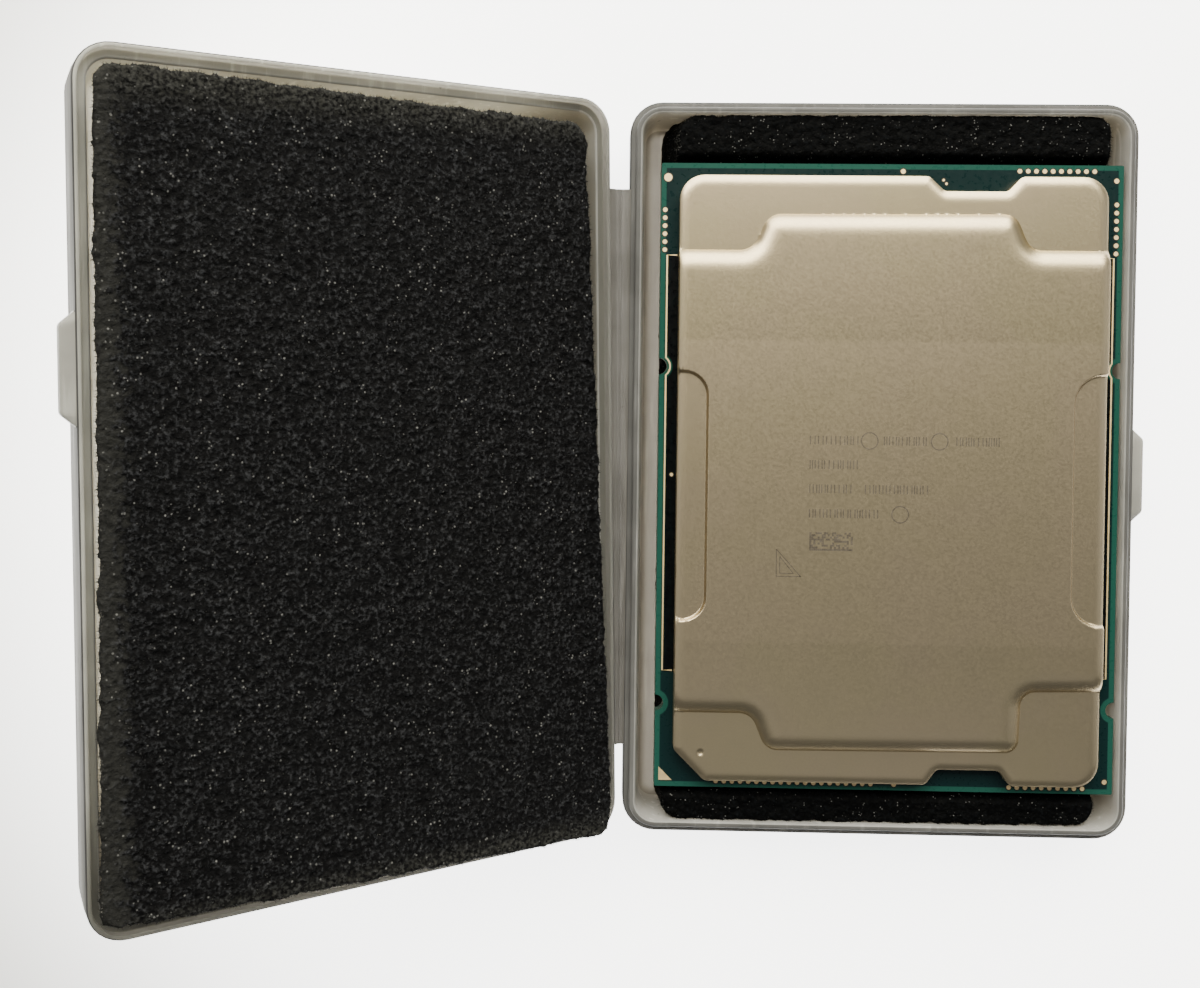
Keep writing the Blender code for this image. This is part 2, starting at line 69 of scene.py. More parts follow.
# --- Places taken from the frame ---
HINGE = next(joint for joint in frame["joints"] if joint["name"] == "lid_hinge")
HINGE_POINT = Vector(HINGE["pos_m"])
HINGE_AXIS = Vector(HINGE["axis"]).normalized()
HINGE_YAW = math.atan2(-HINGE_AXIS.x, HINGE_AXIS.y)
LID_OPEN_ABOVE_FLAT = math.radians(30.5)
LID_TURN = Matrix.Rotation(LID_OPEN_ABOVE_FLAT - math.pi, 4, HINGE_AXIS) @ Matrix.Rotation(math.pi, 4, "Y")
LID_PLACE = Matrix.Translation(HINGE_POINT) @ LID_TURN
BOARD_LOW, BOARD_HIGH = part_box("substrate")
BOARD_X = (BOARD_LOW.x + BOARD_HIGH.x) / 2
BOARD_Y = (BOARD_LOW.y + BOARD_HIGH.y) / 2
BOARD_PLACE = Matrix.Translation((BOARD_X, BOARD_Y, BOARD_HIGH.z))
BOARD_HALF_WIDTH = (BOARD_HIGH.x - BOARD_LOW.x) / 2
BOARD_HALF_LENGTH = (BOARD_HIGH.y - BOARD_LOW.y) / 2

# --- Case ---
CASE_HALF_WIDTH = 31.25 * MM
CASE_HALF_LENGTH = 45.5 * MM
CASE_CORNER_RADIUS = 4.0 * MM
RIM_HEIGHT = 8.35 * MM
HALF_HEIGHT = HINGE_POINT.z
WALL = 1.5 * MM
TAB_REACH = 1.5 * MM
TAB_HALF_LENGTH = 5.8 * MM
HINGE_HALF_GAP = 0.85 * MM
HINGE_HALF_LENGTH = 34.65 * MM
LID_MIDDLE_X = -(HINGE_HALF_GAP + CASE_HALF_WIDTH)
LID_FRAME = LID_PLACE @ Matrix.Translation((LID_MIDDLE_X, 0.0, -HALF_HEIGHT))
CELL = 0.6 * MM  # of the foam

# --- Processor: x, y from the board's middle, z from its upper face ---
SPREADER_UNDERSIDE = 0.2 * MM
FLANGE_TOP = 2.15 * MM
PLATEAU_RISE = 0.95 * MM
PLATEAU_SLOPE = 3.2 * MM  # from the crisp foot to the soft crown
SLOPE_POWER = 3.6
RECESS_DEPTH = 0.45 * MM
RECESS_STEP = 0.35 * MM
CAVITY_TOP = 1.2 * MM
EDGE_WIDTH = 1.5 * MM
EDGE_DROP = 0.32 * MM
EDGE_POWER = 3.0
KEY_NOTCH_YS = (13.6 * MM, -28.3 * MM)
KEY_NOTCH_RADIUS = 1.0 * MM
GROUND_BAND_Y = (-19.9 * MM, 16.9 * MM)  # the spreader's middle, a shade darker

ARC_STEPS = 8

# --- Shader helpers ---
class Look:
    """One procedural material, with short names for the nodes that it is made of."""

    def __init__(self, name, colour, roughness, metallic=0.0):
        self.material = bpy.data.materials.new(name)
        self.material.use_nodes = True
        self.nodes = self.material.node_tree.nodes
        self.links = self.material.node_tree.links
        self.shader = self.nodes["Principled BSDF"]
        self.set("Base Color", (*colour, 1.0))
        self.set("Roughness", roughness)
        self.set("Metallic", metallic)
        self.coordinates = self.nodes.new("ShaderNodeTexCoord").outputs["Object"]

    def feed(self, node, socket, value):
        if isinstance(value, bpy.types.NodeSocket):
            self.links.new(value, node.inputs[socket])
        else:
            node.inputs[socket].default_value = value

    def set(self, socket, value):
        self.feed(self.shader, socket, value)

    def node(self, kind, **inputs):
        """A new node. Underscores in the names of its inputs stand for spaces."""
        node = self.nodes.new("ShaderNode" + kind)
        for socket, value in inputs.items():
            self.feed(node, socket.replace("_", " "), value)
        return node

    def stretched(self, scale):
        return self.node("Mapping", Vector=self.coordinates, Scale=scale).outputs["Vector"]

    def noise(self, size, detail=2.0, vector=None, distortion=0.0):
        vector = vector or self.coordinates
        node = self.node("TexNoise", Vector=vector, Scale=1.0 / size, Detail=detail, Distortion=distortion)
        return node.outputs["Fac"]

    def cells(self, size):
        return self.node("TexVoronoi", Vector=self.coordinates, Scale=1.0 / size).outputs["Distance"]

    def math(self, operation, first, second=0.0):
        node = self.node("Math")
        node.operation = operation
        self.feed(node, 0, first)
        self.feed(node, 1, second)
        return node.outputs[0]

    def vector_math(self, operation, first, second=(0.0, 0.0, 0.0)):
        node = self.node("VectorMath")
        node.operation = operation
        self.feed(node, 0, first)
        self.feed(node, 1, second)
        return node.outputs

    def axis(self, name):
        return self.node("SeparateXYZ", Vector=self.coordinates).outputs[name]

    def along(self, place, axis):
        """Position along one axis of a placed piece's own frame."""
        offset = self.vector_math("SUBTRACT", self.coordinates, place.translation)["Vector"]
        return self.vector_math("DOT_PRODUCT", offset, place.to_3x3() @ Vector(axis))["Value"]

    def fade(self, value, low, high):
        """0 below low, 1 above high, smooth between."""
        node = self.node("MapRange", Value=value, From_Min=low, From_Max=high)
        node.interpolation_type = "SMOOTHSTEP"
        return node.outputs[0]

    def range(self, value, low, high, to_low, to_high):
        limits = {"From_Min": low, "From_Max": high, "To_Min": to_low, "To_Max": to_high}
        return self.node("MapRange", Value=value, **limits).outputs[0]

    def mix(self, factor, first, second):
        node = self.node("Mix")
        node.data_type = "RGBA"
        self.feed(node, 0, factor)
        for index, colour in ((6, first), (7, second)):
            self.feed(node, index, colour if isinstance(colour, bpy.types.NodeSocket) else (*colour, 1.0))
        return node.outputs[2]

    def bump(self, height, distance, strength=1.0):
        """Adds a bump layer over those already there. Distance is the height of a full step, in metres."""
        node = self.node("Bump", Height=height, Distance=distance, Strength=strength)
        below = self.shader.inputs["Normal"].links
        if below:
            self.links.new(below[0].from_socket, node.inputs["Normal"])
        self.links.new(node.outputs["Normal"], self.shader.inputs["Normal"])

# --- Outlines ---
def smooth(values):
    """0 below 0, 1 above 1, smooth between."""
    values = np.clip(values, 0, 1)
    return values * values * (3 - 2 * values)

def in_metres(rows):
    """Rows of millimetres as rows of metres."""
    return [tuple(number * MM for number in row) for row in rows]

def corner_arc(before, corner, after, radius, steps):
    """Points of the arc that rounds one corner."""
    if radius <= 0:
        return [corner]
    to_before = (before - corner).normalized()
    to_after = (after - corner).normalized()
    half_angle = to_before.angle(to_after) / 2
    centre = corner + (to_before + to_after).normalized() * (radius / math.sin(half_angle))
    reach = radius / math.tan(half_angle)
    start = corner + to_before * reach - centre
    end = corner + to_after * reach - centre
    turn = -start.angle_signed(end)
    return [centre + Matrix.Rotation(turn * step / steps, 2) @ start for step in range(steps + 1)]

def rounded(corners, closed=True, steps=ARC_STEPS):
    """A line through corners given as (x, y, radius), each rounded with an arc."""
    places = [Vector((x, y)) for x, y, _ in corners]
    points = []
    for index, (_, _, radius) in enumerate(corners):
        if not closed and index in (0, len(corners) - 1):
            points.append(places[index])
        else:
            after = places[(index + 1) % len(places)]
            points += corner_arc(places[index - 1], places[index], after, radius, steps)
    return points

def rectangle(half_width, half_length, radius, centre=(0.0, 0.0), steps=ARC_STEPS):
    x, y = centre
    signs = ((-1, -1), (1, -1), (1, 1), (-1, 1))
    corners = [(x + a * half_width, y + b * half_length, radius) for a, b in signs]
    return rounded(corners, steps=steps)

def resampled(outline, spacing):
    """The closed outline with a point about every spacing."""
    points = []
    for start, end in zip(outline, outline[1:] + outline[:1]):
        parts = max(1, round((end - start).length / spacing))
        points += [start.lerp(end, part / parts) for part in range(parts)]
    return points

def inset(outline, distance):
    """The outline moved inwards; it runs anticlockwise."""
    points = []
    for index, point in enumerate(outline):
        along = (outline[(index + 1) % len(outline)] - outline[index - 1]).normalized()
        points.append(point + Vector((-along.y, along.x)) * distance)
    return points

def signed_distance(points, outline):
    """Distance of each point from the outline, positive inside."""
    places = np.array(points, float)
    starts = np.array(outline, float)
    ends = np.roll(starts, -1, axis=0)
    nearest = np.full(len(places), 1e9)
    inside = np.zeros(len(places), bool)
    for start, end in zip(starts, ends):
        along = end - start
        share = np.clip((places - start) @ along / (along @ along + 1e-18), 0, 1)
        nearest = np.minimum(nearest, np.linalg.norm(places - start - share[:, None] * along, axis=1))
        crosses = (start[1] > places[:, 1]) != (end[1] > places[:, 1])
        height = end[1] - start[1]
        if height:
            cut = start[0] + (places[:, 1] - start[1]) / height * along[0]
            inside ^= crosses & (places[:, 0] < cut)
    return np.where(inside, nearest, -nearest)

# --- Meshes ---
def new_piece(name, shape, materials, body, place=None, sharp_angle=32, replaces=()):
    """A closed mesh with outward faces, placed in the row frame and riding on a body."""
    bmesh.ops.recalc_face_normals(shape, faces=shape.faces)
    if place is not None:
        bmesh.ops.transform(shape, matrix=place, verts=shape.verts)
    mesh = bpy.data.meshes.new(name)
    shape.to_mesh(mesh)
    shape.free()
    for look in materials:
        mesh.materials.append(look.material)
    mesh.shade_smooth()
    mesh.set_sharp_from_angle(angle=math.radians(sharp_angle))
    piece = bpy.data.objects.new(name, mesh)
    bpy.context.scene.collection.objects.link(piece)
    if body:
        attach(piece, body)
    if replaces:
        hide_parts(*replaces)
    return piece

def loft(shape, loops, material=0, capped=True, strips=None):
    """Joins loops of equally many 3-D points, and caps both ends. Strips gives each band's material."""
    rings = [[shape.verts.new(point) for point in loop] for loop in loops]
    count = len(rings[0])
    for strip, (lower, upper) in enumerate(zip(rings, rings[1:])):
        for index in range(count):
            following = (index + 1) % count
            face = shape.faces.new((lower[index], lower[following], upper[following], upper[index]))
            face.material_index = strips[strip] if strips else material
    if capped:
        shape.faces.new(rings[0][::-1]).material_index = strips[0] if strips else material
        shape.faces.new(rings[-1]).material_index = strips[-1] if strips else material
    return rings

def at_height(outline, z):
    return [(point.x, point.y, z) for point in outline]

def add_slab(shape, outline, bottom, top, edge=0.0, material=0):
    """A plate with rounded upper and lower edges."""
    levels = [(0.0, bottom), (0.0, top)]
    if edge > 0:
        bend = [(edge * (1 - math.sin(a)), edge * (1 - math.cos(a))) for a in np.linspace(0, math.pi / 2, 4)]
        levels = [(i, bottom + z) for i, z in bend] + [(i, top - z) for i, z in reversed(bend)]
    loft(shape, [at_height(inset(outline, distance), z) for distance, z in levels], material)

def triangulate(shape, loops, points, height, material=0):
    """Fills the space inside the first loop, less that inside the others, through the given points.

    Height is one number, or gives the heights of a list of points.
    """
    flat = []
    edges = []
    for loop in loops:
        first = len(flat)
        flat += loop
        edges += [(first + i, first + (i + 1) % len(loop)) for i in range(len(loop))]
    flat += points
    places, _, triangles, _, _, _ = delaunay_2d_cdt(flat, edges, [], 1, 1e-7, False)
    heights = height(places) if callable(height) else [height] * len(places)
    corners = [shape.verts.new((place.x, place.y, z)) for place, z in zip(places, heights)]
    middles = [sum((places[i] for i in triangle), Vector((0, 0))) / 3 for triangle in triangles]
    keep = signed_distance(middles, loops[0]) > 0
    for hole in loops[1:]:
        keep &= signed_distance(middles, hole) < 0
    for triangle, kept in zip(triangles, keep):
        if kept:
            shape.faces.new([corners[i] for i in triangle]).material_index = material

# --- Materials ---
def scaled(colour, share):
    return tuple(share * channel for channel in colour)

def case_plastic(name, dark, pale, clear=0.85, gloss=0.35, painted_shade=False):
    """Frosted polypropylene: milky and slightly warm, with faint flow marks, specks and scuffs, and
    optionally painted shade towards the lid's hinge side and lower end.
    """
    look = Look(name + "_polypropylene", pale, 0.4)
    cloud = look.noise(9 * MM, 3)
    streaks = look.noise(0.9 * MM, 4, look.stretched((1.0, 0.08, 1.0)))
    milky = look.mix(look.fade(cloud, 0.35, 0.65), dark, pale)
    bright = scaled(pale, 1.25)
    scuffed = look.mix(look.fade(streaks, 0.52, 0.75), milky, bright)
    specks = look.fade(look.noise(0.9 * MM, 5), 0.7, 0.76)
    grime = look.math("MULTIPLY", specks, 0.6)
    worn = look.mix(grime, scuffed, scaled(dark, 0.4))
    # Painted shade: darker towards the lid's hinge side and towards its lower end.
    if painted_shade:
        x = look.along(LID_FRAME, (1, 0, 0))
        y = look.along(LID_FRAME, (0, 1, 0))
        side = look.math("MAXIMUM", look.fade(x, 16 * MM, 31 * MM), look.fade(y, -20 * MM, -44 * MM))
        worn = look.mix(side, worn, scaled(dark, 0.38))
    look.set("Base Color", worn)
    look.set("Roughness", look.range(streaks, 0.3, 0.7, 0.3, 0.46))
    look.set("Subsurface Weight", clear)
    look.set("Subsurface Radius", (0.006, 0.0057, 0.0052))
    look.set("Subsurface Scale", 1.0)
    look.set("IOR", 1.49)
    look.set("Specular IOR Level", gloss)
    look.bump(look.noise(0.22 * MM, 2), 0.02 * MM, 0.5)
    look.bump(streaks, 0.03 * MM, 0.5)
    return look

def foam_body(name, dark, pale, painted_glint_size, place=None):
    """Open-celled black foam: deep pores, dull walls and a few painted glints, pale spots in the colour that
    stand in for highlights.
    """
    look = Look(name, dark, 0.8)
    fine = look.noise(0.38 * MM, 2.5)
    coarse = look.noise(0.85 * MM, 2)
    walls = look.math("MULTIPLY", look.fade(fine, 0.42, 0.74), look.fade(coarse, 0.32, 0.64))
    base = look.mix(walls, dark, pale)
    if place is not None:
        x = look.along(place, (1, 0, 0))
        y = look.along(place, (0, 1, 0))
        # Paler olive-grey patches towards both ends of the pad.
        upper_end = look.fade(y, 38.0 * MM, 43.0 * MM)
        ends = look.math("MAXIMUM", upper_end, look.fade(y, -41.5 * MM, -45.0 * MM))
        paler_ends = look.math("MULTIPLY", ends, look.fade(fine, 0.3, 0.72))
        base = look.mix(paler_ends, base, (0.036, 0.036, 0.032))
        wander = look.range(coarse, 0.3, 0.7, -1.2 * MM, 1.2 * MM)
        pressed = look.fade(look.math("ADD", x, wander), -26.6 * MM, -28.4 * MM)
        base = look.mix(look.math("MULTIPLY", pressed, 0.55), base, (0.026, 0.026, 0.024))
    # Painted highlights: sparse pale spots mixed into the colour as glints.
    painted_glint_spots = look.fade(look.cells(painted_glint_size), 0.26, 0.12)
    chosen = look.fade(look.noise(2.2 * painted_glint_size, 1), 0.53, 0.64)
    painted_glint = look.math("MULTIPLY", painted_glint_spots, chosen)
    look.set("Base Color", look.mix(painted_glint, base, (0.11, 0.11, 0.107)))
    look.set("Roughness", look.range(fine, 0.3, 0.7, 0.6, 0.95))
    look.set("Specular IOR Level", 0.06)
    look.bump(coarse, 0.3 * MM, 0.8)
    look.bump(fine, 0.14 * MM, 0.9)
    return look

def foam_strut():
    """Loose struts on the foam's cut faces, dark with pale patches painted in as glints where they would
    catch the light.
    """
    look = Look("foam_struts_painted_glints", (0.02, 0.02, 0.02), 0.55)
    glint_patch = look.noise(1.1 * MM, 2)
    # Painted highlights: pale patches on the struts stand in for their glints.
    pale = look.fade(glint_patch, 0.5, 0.72)
    look.set("Base Color", look.mix(pale, (0.006, 0.006, 0.006), (0.1, 0.098, 0.088)))
    look.set("Specular IOR Level", 0.2)
    return look

def nickel():
    """Matt nickel plate: fine grain, faint rolling lines, soft stains and a ground middle band."""
    look = Look("nickel_plate", (0.6, 0.53, 0.42), 0.34, 1.0)
    stain = look.noise(13 * MM, 3, distortion=0.6)
    blotch = look.noise(3.5 * MM, 4)
    grain = look.noise(0.3 * MM, 3)
    rolled = look.noise(0.3 * MM, 3, look.stretched((1.0, 0.03, 1.0)))
    metal = look.mix(look.fade(stain, 0.35, 0.65), (0.62, 0.52, 0.325), (0.63, 0.518, 0.34))
    metal = look.mix(look.range(grain, 0.35, 0.65, 0.0, 0.22), metal, (0.51, 0.42, 0.28))
    metal = look.mix(look.range(blotch, 0.45, 0.75, 0.0, 0.2), metal, (0.53, 0.45, 0.3))
    y = look.math("SUBTRACT", look.axis("Y"), BOARD_PLACE.translation.y)
    band = look.math(
        "MULTIPLY",
        look.fade(y, GROUND_BAND_Y[0] - 0.3 * MM, GROUND_BAND_Y[0] + 0.3 * MM),
        look.fade(y, GROUND_BAND_Y[1] + 0.3 * MM, GROUND_BAND_Y[1] - 0.3 * MM),
    )
    metal = look.mix(look.math("MULTIPLY", band, 0.3), metal, (0.46, 0.375, 0.26))
    look.set("Base Color", metal)
    ground = look.math("MULTIPLY", band, 0.03)
    look.set("Roughness", look.math("ADD", look.range(grain, 0.3, 0.7, 0.31, 0.37), ground))
    look.bump(grain, 0.01 * MM, 0.4)
    look.bump(rolled, 0.005 * MM, 0.5)
    look.bump(stain, 0.03 * MM, 0.3)
    return look

def solder_mask():
    """Dark blue-green solder mask with a paler green border, faint traces and a woven laminate edge."""
    look = Look("solder_mask", (0.004, 0.03, 0.04), 0.3)
    centre = BOARD_PLACE.translation
    x = look.math("SUBTRACT", look.axis("X"), centre.x)
    y = look.math("SUBTRACT", look.axis("Y"), centre.y)
    to_side = look.math("SUBTRACT", BOARD_HALF_WIDTH, look.math("ABSOLUTE", x))
    to_end = look.math("SUBTRACT", BOARD_HALF_LENGTH, look.math("ABSOLUTE", y))
    margin = look.math("MINIMUM", to_side, to_end)
    side_squared = look.math("MULTIPLY", to_side, to_side)
    for notch_y in KEY_NOTCH_YS:
        off = look.math("SUBTRACT", y, notch_y)
        squares = look.math("ADD", look.math("MULTIPLY", off, off), side_squared)
        reach = look.math("SUBTRACT", look.math("SQRT", squares), KEY_NOTCH_RADIUS)
        margin = look.math("MINIMUM", margin, reach)
    border = look.math("SUBTRACT", 1.0, look.fade(margin, 0.58 * MM, 0.68 * MM))
    inner = look.fade(look.math("ABSOLUTE", x), 27.2 * MM, 27.3 * MM)
    off_middle = look.math("ABSOLUTE", look.math("SUBTRACT", y, 1.5 * MM))
    beyond = look.math("GREATER_THAN", off_middle, 25.9 * MM)
    field = look.math("MAXIMUM", inner, beyond)
    traces = look.fade(look.noise(0.5 * MM, 1, look.stretched((1.0, 0.15, 1.0))), 0.45, 0.6)
    mask = look.mix(field, (0.0005, 0.001, 0.0013), (0.003, 0.014, 0.0145))
    mask = look.mix(look.math("MULTIPLY", traces, 0.06), mask, (0.007, 0.024, 0.025))
    mask = look.mix(border, mask, (0.01, 0.062, 0.046))
    edge = look.math("LESS_THAN", margin, 0.02 * MM)
    weave = look.noise(0.18 * MM, 2, look.stretched((0.3, 0.3, 2.5)))
    laminate = look.mix(weave, (0.004, 0.02, 0.015), (0.012, 0.055, 0.04))
    look.set("Base Color", look.mix(edge, mask, laminate))
    look.set("Roughness", look.range(look.noise(0.6 * MM, 3), 0.3, 0.7, 0.24, 0.38))
    look.set("Specular IOR Level", 0.18)
    look.bump(look.noise(0.15 * MM, 2), 0.004 * MM, 0.4)
    return look

def gold(name="gold_plate", colour=(0.93, 0.7, 0.36)):
    look = Look(name, colour, 0.5, 1.0)
    wear = look.noise(0.5 * MM, 3)
    look.set("Base Color", look.mix(wear, colour, (0.96, 0.78, 0.46)))
    look.set("Roughness", look.range(wear, 0.3, 0.7, 0.5, 0.64))
    look.bump(look.noise(0.12 * MM, 2), 0.004 * MM, 0.5)
    return look

def mottled(name, dark, pale, roughness, size, metallic=0.0, relief=0.01 * MM):
    """A plain material with colour and roughness that vary at one scale, and a fine grain."""
    look = Look(name, dark, roughness, metallic)
    patches = look.noise(size, 4)
    look.set("Base Color", look.mix(patches, dark, pale))
    look.set("Roughness", look.range(patches, 0.3, 0.7, roughness - 0.06, roughness + 0.08))
    look.bump(look.noise(size / 5, 2), relief, 0.6)
    return look

# The case is one frosted polypropylene. These copies of it differ by painted light and shade. Painted light:
# the paler lid rim, tab, inner walls and lid inside, as if lit through the plastic, and a painted highlight
# line along the lip. Painted shade: the darker tray rim, outer walls, floor and hinge, and a painted dark
# outline on the outer edge.
SHADED_TRAY_RIM = case_plastic("shaded_tray_rim", (0.08, 0.079, 0.077), (0.11, 0.109, 0.106), 0.1, 0.18)
LIT_LID_RIM = case_plastic("lit_lid_rim", (0.27, 0.268, 0.24), (0.34, 0.337, 0.302), 0.4, painted_shade=True)
EDGE_SHADE_PLASTIC = case_plastic("edge", (0.05, 0.049, 0.05), (0.07, 0.069, 0.07), 0.0, 0.03)
SHADED_WALL_PLASTIC = case_plastic("wall", (0.085, 0.084, 0.08), (0.125, 0.123, 0.117), 0.04, 0.04)
LIT_INNER_PLASTIC = case_plastic("inner", (0.24, 0.237, 0.228), (0.31, 0.306, 0.293), 0.58, 0.15)
LIT_LID_INNER_PLASTIC = case_plastic("lit_lid_inner", (0.48, 0.475, 0.44), (0.58, 0.575, 0.53), 0.65, painted_shade=True)
SHADED_FLOOR_PLASTIC = case_plastic("floor", (0.135, 0.13, 0.12), (0.165, 0.159, 0.147), 0.33)
LIP_HIGHLIGHT_PLASTIC = case_plastic("lip_highlight", (0.22, 0.218, 0.208), (0.28, 0.277, 0.264), 0.36, 0.2)
LIT_TAB_PLASTIC = case_plastic("tab", (0.23, 0.227, 0.208), (0.29, 0.286, 0.262), 0.2)
SHARED_PLASTICS = [LIP_HIGHLIGHT_PLASTIC, LIT_TAB_PLASTIC, EDGE_SHADE_PLASTIC]
TRAY_PLASTICS = [SHADED_TRAY_RIM, SHADED_WALL_PLASTIC, LIT_INNER_PLASTIC, SHADED_FLOOR_PLASTIC, *SHARED_PLASTICS]
LID_PLASTICS = [LIT_LID_RIM, SHADED_WALL_PLASTIC, LIT_LID_INNER_PLASTIC, LIT_LID_INNER_PLASTIC, *SHARED_PLASTICS]
SHADED_HINGE_PLASTIC = case_plastic("hinge", (0.075, 0.071, 0.064), (0.105, 0.1, 0.092), 0.04)
# Painted shade: the tray's foam is the same black foam as the lid's, coloured darker for the shade it sits
# in.
SHADED_TRAY_FOAM = foam_body("shaded_tray_foam_cells", (0.0004, 0.0005, 0.0006), (0.0036, 0.0042, 0.005), 0.42 * MM)
LID_FOAM = foam_body("lid_foam_cells", (0.003, 0.003, 0.0033), (0.03, 0.031, 0.034), 0.62 * MM, LID_FRAME)
FOAM_STRUT = foam_strut()
NICKEL = nickel()
SOLDER_MASK = solder_mask()
GOLD = gold()
LAND_GOLD = gold("land_gold", (0.8, 0.58, 0.26))
ETCHED = mottled("laser_etching", (0.15, 0.13, 0.1), (0.24, 0.205, 0.165), 0.5, 0.3 * MM, 1.0)
CLEARANCE = mottled("mask_opening", (0.0008, 0.0012, 0.0012), (0.002, 0.003, 0.003), 0.5, 0.2 * MM)
SILICON = mottled("silicon", (0.06, 0.06, 0.08), (0.11, 0.11, 0.14), 0.16, 4 * MM)
UNDERFILL = mottled("underfill", (0.01, 0.014, 0.05), (0.03, 0.04, 0.1), 0.35, 1 * MM)
SEALANT = mottled("sealant", (0.03, 0.03, 0.032), (0.07, 0.07, 0.07), 0.6, 0.8 * MM)
SOLDER = mottled("solder", (0.5, 0.51, 0.53), (0.66, 0.66, 0.67), 0.38, 0.4 * MM, 1.0)
INDIUM = mottled("indium_solder", (0.6, 0.6, 0.62), (0.78, 0.78, 0.79), 0.42, 1.5 * MM, 1.0)
ADHESIVE = mottled("adhesive_film", (0.62, 0.6, 0.52), (0.76, 0.74, 0.66), 0.45, 3 * MM)
CERAMIC = mottled("capacitor_ceramic", (0.2, 0.115, 0.06), (0.34, 0.21, 0.12), 0.5, 0.3 * MM)
TIN = mottled("capacitor_ends", (0.62, 0.61, 0.58), (0.8, 0.79, 0.76), 0.32, 0.2 * MM, 1.0)

# --- Storage case ---
RIM, OUTER, INNER, BASE, LIP, TAB, EDGE = range(7)  # places in a half's list of plastics
# Corners round the mouth: inset, height and radius in millimetres.
TRAY_MOUTH = (
    (0.0, 8.35, 0.28),
    (0.75, 8.35, 0.12),
    (0.75, 9.2, 0.26),
    (1.5, 9.2, 0.3),
)
LID_MOUTH = (
    (0.0, 8.35, 0.22),
    (0.55, 8.35, 0.16),
    (0.55, 7.35, 0.14),
    (1.5, 7.35, 0.3),
)

def case_profile(mouth):
    """Points (inset, z) from the outer face round the rim to the inner floor, with rounded corners."""
    corners = [(3.4, 0.0, 0.0), (0.28, 0.0, 1.3), (0.0, 6.0, 1.0), *mouth, (2.3, 1.0, 1.3), (3.8, 1.0, 0.0)]
    line = rounded(in_metres(corners), closed=False, steps=5)
    return [(point.x, point.y) for point in line]

def tab_share(z):
    """How far the thumb tab reaches out at height z, from 0 to 1."""
    top = RIM_HEIGHT - 0.28 * MM
    bottom = top - 2.4 * MM
    near = min(z - bottom, top - z) / (0.45 * MM)
    return math.sqrt(1 - (1 - min(near, 1.0)) ** 2) if near > 0 else 0.0

def tab_outline(tab_y):
    """The case's outline with the thumb tab on its +X side."""
    side = CASE_HALF_WIDTH
    end = CASE_HALF_LENGTH
    shoulder = 1.3 * MM
    corners = [
        (-side, -end, CASE_CORNER_RADIUS),
        (side, -end, CASE_CORNER_RADIUS),
        (side, tab_y - TAB_HALF_LENGTH, 0.5 * MM),
        (side + TAB_REACH, tab_y - TAB_HALF_LENGTH + shoulder, 0.8 * MM),
        (side + TAB_REACH, tab_y + TAB_HALF_LENGTH - shoulder, 0.8 * MM),
        (side, tab_y + TAB_HALF_LENGTH, 0.5 * MM),
        (side, end, CASE_CORNER_RADIUS),
        (-side, end, CASE_CORNER_RADIUS),
    ]
    return resampled(rounded(corners), 1.5 * MM)

def build_case_half(name, body, node, mouth, plastics, tab_y, place):
    """A moulded half: one profile taken round the outline, with the tab drawn out of its side."""
    full = tab_outline(tab_y)
    plain = [Vector((min(point.x, CASE_HALF_WIDTH), point.y)) for point in full]
    reach = [Vector((point.x - flat.x, 0.0)) for point, flat in zip(full, plain)]
    tab_levels = np.linspace(RIM_HEIGHT - 2.68 * MM, RIM_HEIGHT - 0.28 * MM, 15)
    levels = []
    previous = (0.0, 0.0)
    for inset_by, z in case_profile(mouth):
        if max(previous[0], inset_by) < 0.001 * MM and z > previous[1]:
            levels += [(0.0, level, True) for level in tab_levels if previous[1] < level < z]
        levels.append((inset_by, z, False))
        previous = (inset_by, z)
    loops = []
    strips = [strip_of(*lower[:2], *upper[:2]) for lower, upper in zip(levels, levels[1:])]
    for inset_by, z, in_tab in levels:
        outline = case_outline(plain, inset_by)
        if in_tab:
            outline = [point + out * tab_share(z) for point, out in zip(outline, reach)]
        loops.append(at_height(outline, z))
    shape = bmesh.new()
    loft(shape, loops, strips=strips)
    for face in shape.faces:
        if face.calc_center_median().x > CASE_HALF_WIDTH + 0.05 * MM:
            face.material_index = TAB
    return new_piece(name, shape, plastics, body, place, sharp_angle=40, replaces=[node])

# The bands' plastics are copies of one plastic with painted light and shade: a painted highlight line on the
# lip, a painted dark outline on the outer edge, and lit or shaded tones on the rim, walls and floor.
def strip_of(lower_inset, lower_z, upper_inset, upper_z):
    """Which plastic of the half's list covers a strip of the profile."""
    if max(lower_z, upper_z) < 0.1 * MM:
        return BASE
    if lower_inset > 1.27 * MM and upper_z > 7.0 * MM and upper_inset < 1.53 * MM:
        return LIP
    if lower_inset >= WALL - 0.01 * MM and upper_z <= lower_z:
        return BASE if upper_z < 1.6 * MM else INNER
    if lower_z > 6.9 * MM and lower_inset < 0.14 * MM:
        return EDGE
    if max(lower_z, upper_z) > 7.0 * MM and (lower_inset > 0 or upper_inset > 0):
        return RIM
    return OUTER

def case_outline(plain, inset_by):
    """The plain outline moved in, kept true at its rounded corners."""
    core = (CASE_HALF_WIDTH - CASE_CORNER_RADIUS, CASE_HALF_LENGTH - CASE_CORNER_RADIUS)
    points = []
    for point in plain:
        out = Vector([math.copysign(max(abs(a) - b, 0.0), a) for a, b in zip(point, core)])
        points.append(point - out * (inset_by / CASE_CORNER_RADIUS))
    return points

